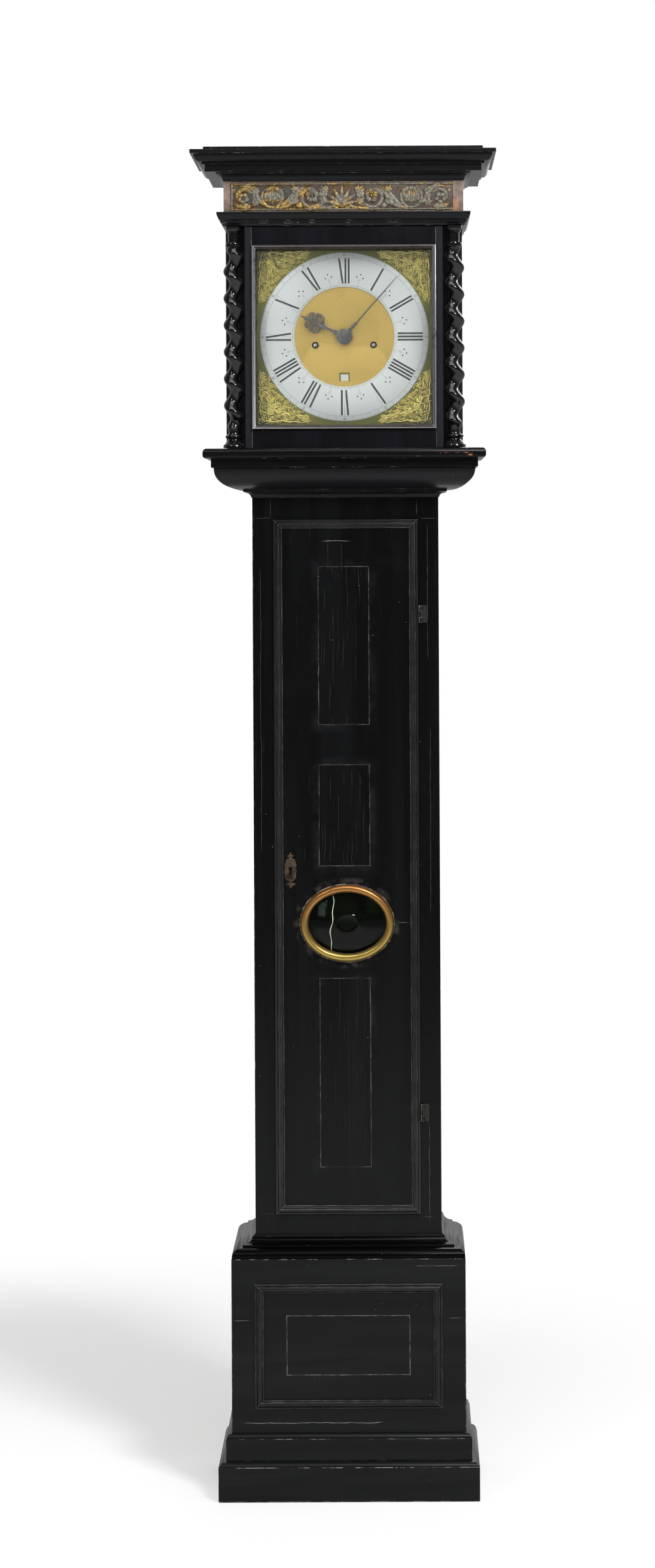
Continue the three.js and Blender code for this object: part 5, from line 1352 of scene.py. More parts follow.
# %% Strokes made a mesh
def stroke_mesh(strokes, place, relief, face, finish, sides=8):
    """Strokes made a mesh; place turns (x, z) of the drawing into the clock's X and Z."""
    curve = bpy.data.curves.new("strokes", "CURVE")
    curve.dimensions = "3D"
    for line in strokes:
        spots = [place(x, z) for x, z, wide in line]
        spline = spline_of(curve, [(x * mm, 0, z * mm) for x, z in spots])
        for point, (x, z, wide) in zip(spline.points, line):
            point.radius = max(wide, 0.08) * mm
    mesh = carved_strokes(curve, relief=relief, face=face * mm, sides=sides, finish=finish)
    mesh.polygons.foreach_set("use_smooth", [True] * len(mesh.polygons))
    return mesh


print("stroke tools ready")

# %% Finish of the carving
carving_z = centre_of("frieze").z
frieze_proud = high["frieze"].x - hood_half
carving_face = hood_front_y - frieze_proud


def carved_finish(name, bole_and_shade_mix, more_gold=0.0, red_ground=False):
    """Silver-grey and worn gold on the high places; near the ground the colour goes to dark bole, partly
    real bole and partly painted shade.
    """
    material, place = begin(name)
    x, y, z = split(place)
    broad = noise(place, 46.0, 3.0, 0.6)
    fine = noise(place, 260.0, 3.0, 0.7)
    silver = blend(ramp(fine, 0.4, 0.62), "4c483d", "7e796b")
    gold = blend(ramp(fine, 0.4, 0.65), "6b5531", "b99a57")
    gilded = ramp(abs(z - carving_z * mm) * 9.0 + broad + more_gold - x * 0.35, 0.56, 0.68)
    dim = "1d1613"
    if red_ground:
        dim = blend(ramp(noise(place, 75.0, 2.0, 0.6), 0.5, 0.56), "2f2c25", "451a1b")
    bole = blend(ramp(broad, 0.45, 0.6), dim, "38201b")
    # partly painted shade: the strokes darken towards the ground they stand on
    hollow = ramp(y, carving_face * mm - 0.0022, carving_face * mm - 0.0006) * bole_and_shade_mix
    colour = blend(hollow, blend(gilded, silver, gold), bole)
    dress(colour, fine * 0.25 + 0.36, fine, 0.4, 0.0004, gilded * 0.45)
    return material


carved = carved_finish("carving_silver_gold", 0.75)
bole_ground = carved_finish("carving_ground", 0.8, -0.05, True)
strip = carved_finish("carving_border", 0.0, -0.12)
print("carving: its ground lies at %.1f mm" % carving_face)

# %% Ends of the frieze
# pinkish brown wood, with a rubbed orange patch low on the right
end_wood, place = begin("frieze_ends")
x, y, z = split(place)
spread = noise(place, 90.0, 4.0, 0.65)
patch = ramp(x, 0.168, 0.169) * ramp(x, 0.181, 0.177) * ramp(spread, 0.25, 0.55)
patch = patch * ramp(z, carving_z * mm - 0.003, carving_z * mm - 0.006)
colour = blend(patch * 0.7, blend(ramp(spread, 0.35, 0.65), "5f534c", "857264"), "a87452")
colour = blend(ramp(y, hood_front_y * mm + 0.004, hood_front_y * mm + 0.012), colour, "3a332e")
dress(colour, spread * 0.3 + 0.4, spread)

foot, top = levels("frieze")
band = [(inner, foot), (frieze_proud, foot), (frieze_proud, top), (inner, top)]
run_moulding("frieze", band, hood_half, hood_front_y, end_wood)
print("frieze: %.1f mm high" % (top - foot))

# %% Drawing of the frieze
half_high = 21.0
left_end, right_end = -174.6, 169.6
strokes = [lobe(0, -17, 90 - 19 * k, 35 - 2.6 * abs(k), 2.9, -14 * k) for k in range(-3, 4)]
side = [drawn_line([(2, -15), (9, -12), (18, -17), (30, -18.5), (42, -18)], [1.0, 1.9, 2.2, 1.8], 14),
        scroll(47, 0, 17.5, -110, 300, 2.6), scroll(9, -13, 5, 200, 300, 1.8, 0.3, 12),
        *flower(46, 1, 11.5), *leaf(27, -2, 72, 17, 3.0, 2, 30, -30),
        *leaf(24, -10, 38, 15, 2.6, 2, 34, -20), *leaf(21, 8, 25, 15, 2.4, 2, 30, 40),
        drawn_line([(60, 10), (68, 3), (76, -9), (90, -17), (102, -18)], [2.0, 3.0, 2.6, 1.8], 16),
        *leaf(70, 6, 58, 15, 3.0, 2, 36, 30), *leaf(76, -12, 108, 17, 2.6, 2, 30, 44),
        *leaf(68, -11, 232, 11, 2.4, 2, 34), scroll(108, 0, 17.5, -100, -290, 2.7),
        scroll(108, 0, 17.5, 250, 200, 2.2, 0.8),
        *[lobe(108 + 3.1 * k, -10 + 0.7 * abs(k), 90 - 4 * k, 21 - 1.8 * abs(k), 2.4, 10 * k)
          for k in range(-3, 4)],
        drawn_line([(121, -12), (130, -3), (133, 8), (140, 16)], [1.8, 2.8, 2.4, 1.4], 14),
        *leaf(132, 4, 75, 15, 2.6, 2, 34, -30), *leaf(131, -5, 300, 14, 2.6, 2, 30, 30),
        scroll(153, -2, 14, 150, -210, 2.6, 0.5), *flower(153, -3, 9.5, 5, 270),
        *leaf(140, 14, 12, 20, 2.0, 2, 22, -24), *leaf(142, -16, -8, 20, 2.0, 2, 22, 22),
        *leaf(164, 8, 20, 8, 1.8, 1, 34)]
strokes = [[(x, z, w * 1.45) for x, z, w in line] for line in strokes + mirrored(side)]
for k in range(40):  # a row of small beads along both borders
    turn = 90 if k % 2 else -90
    strokes.append(lobe(-164 + 328 * k / 39, 16.5 if k % 2 else -17.5, turn, 3.0, 1.1, 0, 4))
broad_leaves = [drawn_line([(26, -17), (34, -14), (50, -19), (62, -12)], [1.0, 4.5, 5.0, 1.0], 12),
                drawn_line([(56, 14), (68, 8), (78, -4), (92, -15), (104, -16)],
                           [1.0, 6.5, 7.0, 4.0, 1.0], 16),
                drawn_line([(84, 14), (96, 10), (108, 13), (120, 8)], [0.5, 4.0, 4.5, 1.0], 12),
                drawn_line([(122, -12), (132, -2), (136, 9), (150, 15)], [1.0, 6.0, 5.5, 1.0], 14),
                drawn_line([(138, -16), (150, -13), (160, -15), (168, -10)], [0.8, 3.6, 3.6, 1.0], 10)]
print("drawn:", len(strokes), "strokes and", 2 * len(broad_leaves), "broad leaves")


# %% Frieze carving
def on_the_frieze(x, z):
    return x * 172.1 / 172.0 + (left_end + right_end) / 2, carving_z + z


def strip_plate(x0, x1, z0, z1, thick, bevel, steps=1):
    """A strip that stands proud of the ground of the frieze by its thickness."""
    outline = rectangle(x0, x1, carving_z + z0, carving_z + z1)
    return sheet_plate([outline], thick, bevel, carving_face - thick, steps)


sunk = carving_face - 0.6
relief = placed("frieze_carving", [
    stroke_mesh(strokes, on_the_frieze, 0.78, sunk, carved),
    stroke_mesh(mirrored(broad_leaves), on_the_frieze, 0.3, sunk, carved, 12)],
    None, carved, "hood")
field = rectangle(left_end, right_end, carving_z - half_high, carving_z + half_high)
placed("frieze_ground", sheet_plate([field], 0.8, 0.2, carving_face - 0.7), None, bole_ground,
       "hood")
low_edge, high_edge = -half_high + 2.2, half_high - 2.9
borders = [strip_plate(left_end, right_end, -half_high, low_edge, 2.4, 0.7, 3),
           strip_plate(left_end, right_end, high_edge, half_high, 2.4, 0.7, 3),
           strip_plate(left_end, left_end + 3.0, low_edge, high_edge, 2.0, 0.7, 3)]
placed("frieze_borders", borders, None, strip, "hood")
outer = hood_half + frieze_proud
blocks = [strip_plate(x0, x1, foot - carving_z, top - carving_z, 2.4, 0.3)
          for x0, x1 in ((-outer, left_end - 1.2), (right_end + 0.1, outer))]
placed("frieze_ends", blocks, None, end_wood, "hood")
print("carving: %d strokes, %d faces" % (len(strokes), len(relief.data.polygons)))

# %% [markdown]
# ## Dial plate
# The dial is one sheet of cast brass, hammered and scraped flat. Its corners stay plain under
# the spandrels and have darkened to olive; the middle is matted with a ring punch and gilded.
# One material does both, split by the distance from the centre, as the maker used one plate.

# %% Plate
ground, place = begin("dial_ground")
x, y, z = split(place)
up = z - dial_z * mm
middle = ramp(calc("SQRT", x * x + up * up), 0.0795, 0.079)
fine = tarnish(place, scale=90.0, amount=0.4)["fine"]
grains = noise(place, 900.0, 2.0, 0.7)
corners = blend(tarnish(place, scale=20.0, amount=0.45), "7f7d38", "54561f")
matted = blend(ramp(grains, 0.35, 0.65), "bf9d49", "dcbd69")
matted = blend(tarnish(place, scale=26.0, amount=0.5) * 0.3, matted, "b3914a")
dress(blend(middle, corners, matted), middle * 0.14 + fine * 0.2 + 0.34, middle * grains + fine * 0.15, 0.5,
      metallic=0.65 - middle * 0.35)

dial_half = high["dial_plate"].x
dial_thick = low["date_ring"].y - seam - dial_face_y
winding_x, _, winding_z = centre_of("barrel_going")
date_z = dial_z - 63.4
date_half, date_tall = 8.5, 7.5
plate_cuts = [rectangle(-dial_half, dial_half, *levels("dial_plate")), circle(0, dial_z, 7.5),
              circle(-winding_x, winding_z, 5.4, 36), circle(winding_x, winding_z, 5.4, 36),
              rectangle(-date_half, date_half, date_z - date_tall, date_z + date_tall)]
foot_end = high["dial_plate"].y - dial_face_y
foot_section = [(0, dial_thick - 0.5), (3, dial_thick - 0.5), (3, dial_thick + 4), (2.6, dial_thick + 4.5),
                (2.6, foot_end), (0, foot_end)]
foot_place = 66
feet = [lathe(foot_section, (foot_place * x, dial_face_y, dial_z + foot_place * z), "Y", 24)
        for x, z in four_corners]
plate = placed("dial_plate_cut", [sheet_plate(plate_cuts, dial_thick, 0.3, dial_face_y), *feet],
               "dial_plate", ground)
plate.data.materials.append(plate_brass)
for face in plate.data.polygons:  # the back and the feet are plain brass
    face.material_index = int(face.center.y > (dial_face_y + dial_thick) * mm - 1e-5)
aperture = [(0.25, -0.4), (0.25, 0.05), (-0.05, 0.05), (-2.7, 0.3 - dial_thick), (-2.7, -dial_thick),
            (0.25, -dial_thick)]
swept = round_a_panel(aperture, date_half, date_tall, date_z, dial_face_y)
placed("date_aperture_bevel", mesh_of("bevel", *swept, None), None, bevel_brass, "case")
eased("date_ring", silvered, 0.2, "silvered_brass")
print("dial plate: %.0f mm, %.1f mm thick" % (2 * dial_half, dial_thick))

# %% [markdown]
# ## Chapter ring
# The ring is engraved and its cuts are filled with black wax, then silvered round them. Cutting
# sixty ticks and twelve numerals into a mesh would only make thin triangles, so the wax is
# modelled instead: thin bars that stand a hair above the silver. The marks that repeat are
# drawn once and one tree sets them round the centre.

# %% Ring and its rule
@rule(count=12, first=0.0, mark="")
def about_the_arbor(count, first, mark):
    """Copies of a mark turned about the dial's arbor in equal steps."""
    points = put("GeometryNodePoints", {"Count": count, "Radius": 0.001})
    angle = put("GeometryNodeInputIndex") * calc("DIVIDE", 2 * pi, count) + first
    shape = put("GeometryNodeObjectInfo", {"Object": mark}, "Geometry")
    return put("GeometryNodeInstanceOnPoints", {"Points": points, "Instance": shape,
                                                "Rotation": join(0.0, angle, 0.0)})


def set_round(mark_mesh, count, finish, first=0.0, centre=(0, 0, 0)):
    """Repeats a mark, drawn about the origin, round a centre; first is a turn in radians."""
    mark = shown("mark", mark_mesh)
    mesh = about_the_arbor(bpy.data.meshes.new("round"), count=count, first=first, mark=mark, finish=finish)
    bpy.data.objects.remove(mark)
    mesh.transform(Matrix.Translation(Vector(centre) * mm))
    return mesh


def hoop(section, front, sides, smooth):
    """A ring round the dial's arbor from a section of (radius, back) points."""
    section = [(-radius, -back) for radius, back in section]
    return mesh_of("hoop", *round_an_oval(section, 0, 0, dial_z, front, sides), smooth)


ring_front = low["chapter_ring"].y
ring_out, ring_in = high["chapter_ring"].x, 78.0
thick = high["chapter_ring"].y - ring_front
section = [(ring_in, thick), (ring_out, thick), (ring_out, 0.35), (ring_out - 0.12, 0.1),
           (ring_out - 0.4, 0), (ring_in + 0.4, 0), (ring_in + 0.12, 0.1), (ring_in, 0.35)]
placed("chapter_ring_silvered", hoop(section, ring_front, 180, 30), "chapter_ring", silvered)
print("chapter ring: %.0f to %.0f mm" % (ring_in, ring_out))

# %% Letters
def flat(*outlines):
    """A thin wax filling about the origin, a hair above the silver."""
    return sheet_plate(outlines, 0.3, 0.0, -0.05)


def bar(x0, z0, x1, z1, wide):
    along = Vector((x1 - x0, z1 - z0)).normalized()
    side = Vector((-along.y, along.x)) * wide / 2
    ends = ((x0, z0, 1), (x0, z0, -1), (x1, z1, -1), (x1, z1, 1))
    return [(x + k * side.x, z + k * side.y) for x, z, k in ends]


numeral_foot, numeral_top = 83.4, 122.6
stem, hair = 2.9, 0.34
letter_wide = {"I": 5.05, "V": 9.0, "X": 9.2}


def letter(kind, left):
    """Outlines of one Roman letter on the inner edge: its thick stroke, then its hair strokes."""
    middle, right = left + letter_wide[kind] / 2, left + letter_wide[kind]
    foot, top = numeral_foot, numeral_top
    strokes = [(middle, middle, stem)]
    serifs = [(middle - 2.2, middle + 2.2, foot), (middle - 2.2, middle + 2.2, top)]
    if kind == "V":
        strokes = [(left + 1.6, middle + 0.4, stem), (right - 1.2, middle + 0.9, hair)]
        serifs = [(left - 0.4, left + 3.4, top), (right - 2.6, right + 0.4, top)]
    if kind == "X":
        strokes = [(left + 1.6, right - 1.8, stem), (right - 1.2, left + 1.2, hair)]
        serifs = [(left - 0.3, left + 3.4, top), (right - 3.4, right, foot),
                  (right - 2.6, right + 0.2, top), (left, left + 2.4, foot)]
    return [bar(x0, top, x1, foot, wide) for x0, x1, wide in strokes] + [
        bar(x0, z, x1, z, hair) for x0, x1, z in serifs]


print("letters: %.1f mm tall, stems %.1f mm" % (numeral_top - numeral_foot, stem))

# %% Numerals and tracks
numerals = "XII I II III IIII V VI VII VIII IX X XI".split()
thick_parts, hair_parts = [], []
for hour, numeral in enumerate(numerals):
    left = -sum(letter_wide[kind] for kind in numeral) / 2
    for kind in numeral:
        for i, outline in enumerate(letter(kind, left)):
            mesh = flat(outline)
            mesh.transform(Matrix.Rotation(radians(30 * hour), 4, "Y"))
            (hair_parts if i else thick_parts).append(mesh)
        left += letter_wide[kind]
digit_size, digit_z = 5.2, 128.2
for minute in range(5, 61, 5):
    text = bpy.data.curves.new("minutes", "FONT")
    text.body = str(minute)
    text.size = digit_size * mm
    text.align_x, text.align_y = "CENTER", "CENTER"
    text.extrude = 0.12 * mm
    digits = evaluated_mesh(shown("minutes", text))
    digits.transform(Matrix.Rotation(radians(6 * minute), 4, "Y")
                     @ Matrix.Translation((0, 0.08 * mm, digit_z * mm))
                     @ Matrix.Rotation(radians(90), 4, "X"))
    settle(digits, 2e-6)
    hair_parts.append(digits)
for radius, wide in ((124.4, 0.36), (131.3, 0.3), (81.2, 0.36), (78.9, 0.3)):
    edges = [circle(0, 0, radius + side * wide / 2, 144) for side in (1, -1)]
    hair_parts.append(flat(*edges))
dots = flat(*[circle(x, z, 1.15, 16) for x, z in ((0, 100.4), (-5.0, 95.4), (5.0, 95.4))])
diamond = [(0, 93.2), (2.0, 91.2), (0, 89.2), (-2.0, 91.2), (0, 93.2)]
little = [flat(bar(*a, *b, hair)) for a, b in [*zip(diamond, diamond[1:]), ((0, 89.2), (0, 81.4))]]
half_hour = radians(15)
thick_parts.append(set_round(dots, 12, wax, half_hour))
minute_line, quarter_line = flat(bar(0, 124.5, 0, 131.3, hair)), flat(bar(0, 78.9, 0, 81.2, hair))
hair_parts += [set_round(joined("little", little), 12, fine_wax, half_hour),
               set_round(minute_line, 60, fine_wax), set_round(quarter_line, 48, fine_wax)]
waxes = (("chapter_numerals", thick_parts, wax), ("chapter_lines", hair_parts, fine_wax))
for name, parts, finish in waxes:
    mesh = joined(name, parts)
    mesh.transform(Matrix.Translation(Vector((0, ring_front, dial_z)) * mm))
    placed(name, mesh, None, finish, "case")
    print(name, len(mesh.polygons), "faces")

# %% [markdown]
# ## Spandrels
# The four corner pieces are castings of scrolling leaves, chased and gilded, from one pattern.
# They are drawn from the corner inward and mirrored over the diagonal, and the same strokes as
# on the frieze give them their relief. Mirrored copies are made by the place function, not by a
# negative scale, so no face turns inside out.

# %% Corner castings
corner = [scroll(24, 13, 9.5, 200, -330, 1.9), scroll(45, 9.5, 7.2, 190, -320, 1.7),
          scroll(62, 7.5, 5.4, 190, -300, 1.5),
          drawn_line([(7, 9), (16, 4), (28, 3), (38, 5), (48, 2.6), (58, 3.4), (68, 1.8), (84, 3)],
                     [1.2, 1.9, 1.7, 1.6, 0.5], 26),
          drawn_line([(40, 18), (50, 15.5), (60, 13.5), (70, 12.6), (79, 11)], [0.8, 1.5, 1.3, 0.4], 14)]
for values in ((30, 20, -12, 15, 2.2, 2, 30, 36), (37, 12, 50, 10, 2.0, 2, 34, -30),
               (54, 8, 60, 8, 1.7, 1, 36, -30), (67, 6, 10, 15, 1.6, 2, 24, 12),
               (15, 7, -28, 10, 1.9, 1, 36, 30), (33, 5, 300, 6, 1.6, 1, 40), (50, 5, 296, 5, 1.5, 1, 40),
               (22, 24, 8, 13, 2.1, 1, 34, 34), (72, 4.5, 50, 7, 1.4, 1, 34)):
    corner += leaf(*values)
corner += flower(24, 13, 5.2) + flower(45, 9.5, 4.0) + flower(62, 7.5, 3.0) + [lobe(76, 4, -5, 9, 1.4, 20)]
corner += [[(z, x, w) for x, z, w in line] for line in corner]  # over the diagonal
corner += [lobe(14, 14, 45 + 22 * k, 17 - 2.0 * abs(k), 2.0, -14 * k) for k in range(-2, 3)]
for k in range(620):  # small chased leaves and curls fill the ground between the scrolls
    x, z = 2.5 + 60.390216 * k % 80, 2.5 + 45.587224 * k % 80
    if hypot(137.3 - x, 137.3 - z) > 137.0 and max(x, z) < 80:
        turn = (137.5 * k) % 360
        if k % 3:
            corner.append(lobe(x, z, turn, 5.4, 1.5, 70 if k % 2 else -70, 4))
        else:
            corner.append(scroll(x, z, 3.0, turn, 320, 1.25, 0.6, 8))
corner += flower(12.5, 12.5, 7, 6, 45) + leaf(9, 9, 225, 8, 2.0, 1, 50) + [lobe(34, 34, 45, 8, 2.0)]
for node in ("spandrel_upper_left", "spandrel_upper_right", "spandrel_lower_left", "spandrel_lower_right"):
    side = -1 if "left" in node else 1
    rise = 1 if "upper" in node else -1
    edge_x = max(abs(low[node].x), abs(high[node].x))
    edge_z = high[node].z if rise > 0 else low[node].z
    mesh = stroke_mesh(corner, lambda x, z: (side * (edge_x - x), edge_z - rise * z), 1.25,
                       high["spandrel_upper_left"].y + 0.1, gilt, 6)
    placed(node + "_cast", mesh, node, gilt)
print("spandrels: 4 of %d strokes" % len(corner))

# %% [markdown]
# ## Hands
# Both hands are sawn from steel, filed and blued. The hour hand ends in a pierced rosette of
# curls, so its curls are strokes as well; the minute hand is a plain needle with a small leaf at
# its foot. Each is drawn pointing up and turned to its hour, because the angle belongs to the
# packed clock and not to the drawing.

# %% Drawing a hand
def turned_to(angle):
    """Turns (across, along) of a hand that points up into the dial's X and Z."""
    cosine, sine = cos(radians(angle)), sin(radians(angle))
    return lambda u, v: (u * cosine + v * sine, dial_z + v * cosine - u * sine)


def hand_plate(outlines, angle, thick, front):
    place = turned_to(angle)
    return sheet_plate([[place(u, v) for u, v in line] for line in outlines], thick, 0.25, front)


def both_sides(right):
    """An outline from its right half, which runs from the foot to the tip."""
    return right + [(-u, v) for u, v in reversed(right) if u]


def loop(u, v, wide, tall, thick, start=0):
    """A closed curl whose ends overlap."""
    return [(*spot, thick * (0.6 + 0.4 * sin(pi * i / 18)))
            for i, spot in enumerate(arc(u, v, wide, tall, start, start + 390, 18))]


hour_angle, minute_angle = 295.9, 41.6
hour_face, minute_face = -57.0, -61.95
print("hands at %.1f and %.1f degrees" % (hour_angle, minute_angle))

# %% Hour hand
arm = both_sides([(3.2, 11), (2.6, 14), (4.4, 16), (2.4, 18), (1.9, 22), (1.7, 29), (2.4, 33), (4.6, 35),
                  (2.6, 37.5), (1.4, 44)])
rosette = [loop(-8.6, 46.5, 6.2, 6.6, 1.35, 20), loop(8.6, 46.5, 6.2, 6.6, 1.35, 160),
           loop(-6.8, 58.6, 5.4, 5.6, 1.25, 300), loop(6.8, 58.6, 5.4, 5.6, 1.25, 240),
           loop(0, 52.5, 4.3, 4.6, 1.2, 90), scroll(-8.6, 46.5, 3.8, 0, 380, 1.0),
           scroll(8.6, 46.5, 3.8, 180, -380, 1.0), scroll(-6.8, 58.6, 3.2, 0, -380, 0.9),
           scroll(6.8, 58.6, 3.2, 180, 380, 0.9),
           drawn_line([(0, 41), (0, 47), (0, 60), (0, 68)], [1.6, 1.1, 1.2, 1.5, 0.9], 10),
           drawn_line([(0, 65), (0, 70), (0, 76)], [1.2, 1.5, 0.3], 8),
           lobe(-12, 52.6, 175, 4.6, 1.3), lobe(12, 52.6, 5, 4.6, 1.3),
           lobe(0, 40.5, 150, 7, 1.4, -20), lobe(0, 40.5, 30, 7, 1.4, 20),
           lobe(0, 64.5, 140, 5, 1.1, -30), lobe(0, 64.5, 40, 5, 1.1, 30),
           drawn_line([(-13.5, 41.5), (-6, 38.6), (0, 40), (6, 38.6), (13.5, 41.5)],
                      [0.4, 1.2, 1.5, 1.2, 0.4], 16)]
placed("hour_hand_sawn", [
    hand_plate([arm], hour_angle, 1.6, hour_face),
    hand_plate([circle(0, 0, 12.4, 64), circle(0, 0, 6.2)], hour_angle, 1.8, hour_face - 0.2),
    stroke_mesh(rosette, turned_to(hour_angle), 0.62, hour_face + 0.9, blued)],
    "hour_hand", blued)
print("hour hand: a rosette of %d strokes" % len(rosette))

# %% Minute hand
needle = both_sides([(1.9, 8), (1.7, 11.5), (3.6, 13), (3.4, 15), (1.6, 16.6), (2.7, 19), (2.9, 21),
                     (1.5, 23.4), (2.6, 26), (1.1, 29), (1.0, 60), (0.75, 100), (0.35, 124.6), (0, 125)])
collet = [(0, -63.8), (1.4, -63.8), (1.8, -63.5), (1.9, -63.1), (4.6, -63.0), (5.6, -62.7), (6.0, -62.2),
          (6.0, -59.2), (2.2, -59.2), (2.2, -52.5), (0, -52.5)]
placed("minute_hand_sawn", [
    hand_plate([needle], minute_angle, 1.4, minute_face),
    hand_plate([circle(0, 0, 8.6, 56), circle(0, 0, 3.0, 28)], minute_angle, 1.7, minute_face - 0.1),
    lathe(collet, (0, 0, dial_z), "Y", 40)], "minute_hand", blued)
pipe = [(2.6, -59.0), (5.6, -59.0), (6.0, -58.6), (6.0, -50.5), (2.6, -50.5)]
placed("hour_hand_pipe", hoop(pipe, 0, 40, 40), None, blued, "hour_hand")
print("minute hand: reaches %.0f mm" % max(v for u, v in needle))

# %% [markdown]
# ## Movement
# Behind the dial two brass plates stand on four turned pillars and hold the barrels, the escape
# wheel and the anchor. Plates are sawn, pillars and barrels are lathe work, and only wheel teeth
# repeat, so the plates come from outlines, the turnings from sections and the teeth from the
# same rule that set the minute marks.

# %% Plates and pillars
def block(x0, x1, y0, y1, z0, z1, ease=0.4):
    """A small filed block with eased edges."""
    first, last = Vector((x0, y0, z0)) * mm, Vector((x1, y1, z1)) * mm
    bm = bmesh.new()
    bmesh.ops.create_cube(bm, size=1.0, matrix=Matrix.Translation((first + last) / 2)
                          @ Matrix.Diagonal((*(last - first), 1)))
    bmesh.ops.bevel(bm, geom=bm.edges[:], offset=ease * mm, segments=2, profile=0.5, affect="EDGES")
    mesh = finished(bm, "block")
    smooth_below(mesh, 50)
    return mesh


plate_half, cock_rear, cock_top = high["movement_frame"]
plate_foot = low["movement_frame"].z
plate_top = plate_foot + 2 * plate_half
front_plate, back_plate, plate_thick = low["movement_frame"].y, 39.55, 3.5
barrel_y = 2.95
hang_y, hang_z = centre_of("pendulum_rod").y, 1885.4
inset = 11
sheet = rectangle(-plate_half, plate_half, plate_foot, plate_top)
parts = [sheet_plate([sheet, circle(0, dial_z, 3.0, 24), circle(-winding_x, winding_z, 4.3, 24),
                      circle(winding_x, winding_z, 4.3, 24)], plate_thick, 0.4, front_plate),
         sheet_plate([sheet, circle(0, hang_z, 4.5, 24)], plate_thick, 0.4, back_plate)]
middle = (back_plate - front_plate - plate_thick) / 2
half_pillar = [(0, -1.5), (3.2, -1.5), (3.2, 0), (6.4, 0), (6.4, 2), (5.0, 3), (5.0, 4.2), (6.2, 5.2),
               (6.2, 6.2), (4.0, 8.2), (3.2, 12), (3.4, 18), (4.4, 24), (5.6, 27.6), (5.9, 30)]
half_pillar = [(radius, along) for radius, along in half_pillar if along < middle - 1]
far_half = [(radius, 2 * middle - along) for radius, along in reversed(half_pillar)]
pillar = half_pillar + [(6.1, middle)] + far_half
parts += [lathe(pillar, (x, front_plate + plate_thick, z), "Y", 28)
          for x in (inset - plate_half, plate_half - inset)
          for z in (plate_foot + inset, plate_top - inset)]
cock_foot = hang_z + 3.2
parts += [block(-12, 12, back_plate + 2.5, cock_rear, cock_foot, cock_foot + 8, 0.8),
          block(-12, 12, back_plate + 2.5, back_plate + 7.5, cock_foot, cock_top, 0.8)]
screw = [(0, 3.2), (2.4, 3.2), (3.0, 2.6), (3.0, 0), (0, 0)]
parts += [lathe(screw, (x, back_plate + 7.3, cock_foot + 4), "Y", 20) for x in (-7, 7)]

# bright between the plates; the front, behind the dial, is painted dark brown, a painted shade that keeps
# the winding holes dark
frame_brass, place = begin("brass_plates")
fine = tarnish(stretched(place, 1.0, 1.0, 9.0), scale=60.0, amount=0.4)["fine"]
bright = blend(tarnish(place, scale=14.0, amount=0.4), "b8934d", "86672f")
shaded_front = ramp(split(place)[1], front_plate * mm + 0.0006, front_plate * mm + 0.0001)
colour = blend(shaded_front, bright, "1d1710")
dress(colour, shaded_front * 0.4 + fine * 0.2 + 0.26, fine, 0.12, 0.0002, 1.0 - shaded_front * 0.8)
placed("movement_plates", parts, "movement_frame", frame_brass)
print("movement: %d parts, %.0f mm between plates" % (len(parts), 2 * middle))

# %% Barrels and wheels
def prism(outline, thick, smooth=None):
    """An outline in X and Z made as thick as a wheel about the origin."""
    rings = [[(x, y, z) for x, z in outline] for y in (-thick / 2, thick / 2)]
    return mesh_of("prism", *sweep(rings, False), smooth)


tooth = [(-0.75, 32.6), (0.75, 32.6), (0.675, 34.3), (0.45, 36), (-0.45, 36), (-0.675, 34.3)]
for node in ("barrel_strike", "barrel_going"):
    x, _, z = centre_of(node)
    start, end, rear = barrel_y - 15, barrel_y + 15, high[node].y
    section = [(0, start - 4), (3.9, start - 4), (3.9, start - 2), (27, start - 2), (27, start),
               (24, start)]
    for i in range(24):
        groove = start + 1.5 + i * 1.12
        section += [(24, groove), (23.4, groove + 0.4), (23.4, groove + 0.7), (24, groove + 1.08)]
    section += [(24, end), (27, end), (27, end + 2), (33.2, end + 2), (33.2, end + 5), (3.9, end + 5),
                (3.9, rear), (0, rear)]
    parts = [lathe(section, (x, 0, z), "Y", 72, 35),
             set_round(prism(tooth, 3), 96, plate_brass, centre=(x, end + 3.5, z))]
    placed(node + "_turned", parts, node, plate_brass)
    square = block(x - 2.4, x + 2.4, low[node].y, start - 3, z - 2.4, z + 2.4, 0.35)
    placed(node + "_square", square, None, steel, node)

wheel_y, wheel_z = 26.55, centre_of("escape_wheel").z
first, last = low["escape_wheel"].y, high["escape_wheel"].y
rim = [circle(0, wheel_z, 20.8, 72)]
for turn in (8, 98, 188, 278):  # four openings between the arms
    rim.append(arc(0, wheel_z, 17.4, 17.4, turn, turn + 74, 10)
               + arc(0, wheel_z, 8.2, 8.2, turn + 74, turn, 6))
fang = [(-1.4, 20.4), (1.2, 20.4), (0.5, 22.2), (-0.15, 24.0), (-0.35, 24.0), (-0.6, 22.0)]
arbor = [(0, first), (1.0, first + 0.2), (1.1, -17.5), (1.8, -17), (1.8, 23), (5, 23.6), (5, 25.8),
         (5, 27.8), (3.4, 28.6), (1.8, 29), (1.8, 36.6), (1.1, 37), (1.0, last - 0.2), (0, last)]
parts = [sheet_plate(rim, 2.0, 0.15, wheel_y - 1.0),
         set_round(prism(fang, 2.0, 30), 30, plate_brass, centre=(0, wheel_y, wheel_z)),
         lathe(arbor, (0, 0, wheel_z), "Y", 24)]
placed("escape_wheel_cut", parts, "escape_wheel", plate_brass)
eased("anchor", steel, 0.3, "steel")
print("wheels: 2 great wheels of 96 teeth and an escape wheel of 30")

# %% [markdown]
# ## Bell, pendulum and weights
# The bell is cast and turned, so it has a thick lip and a thin crown. The pendulum's bob is two
# brass shells over lead, shaped like a lentil. The weights are brass tubes filled with lead,
# each with a pulley in a brass strap. All are lathe work with a few filed parts joined on.

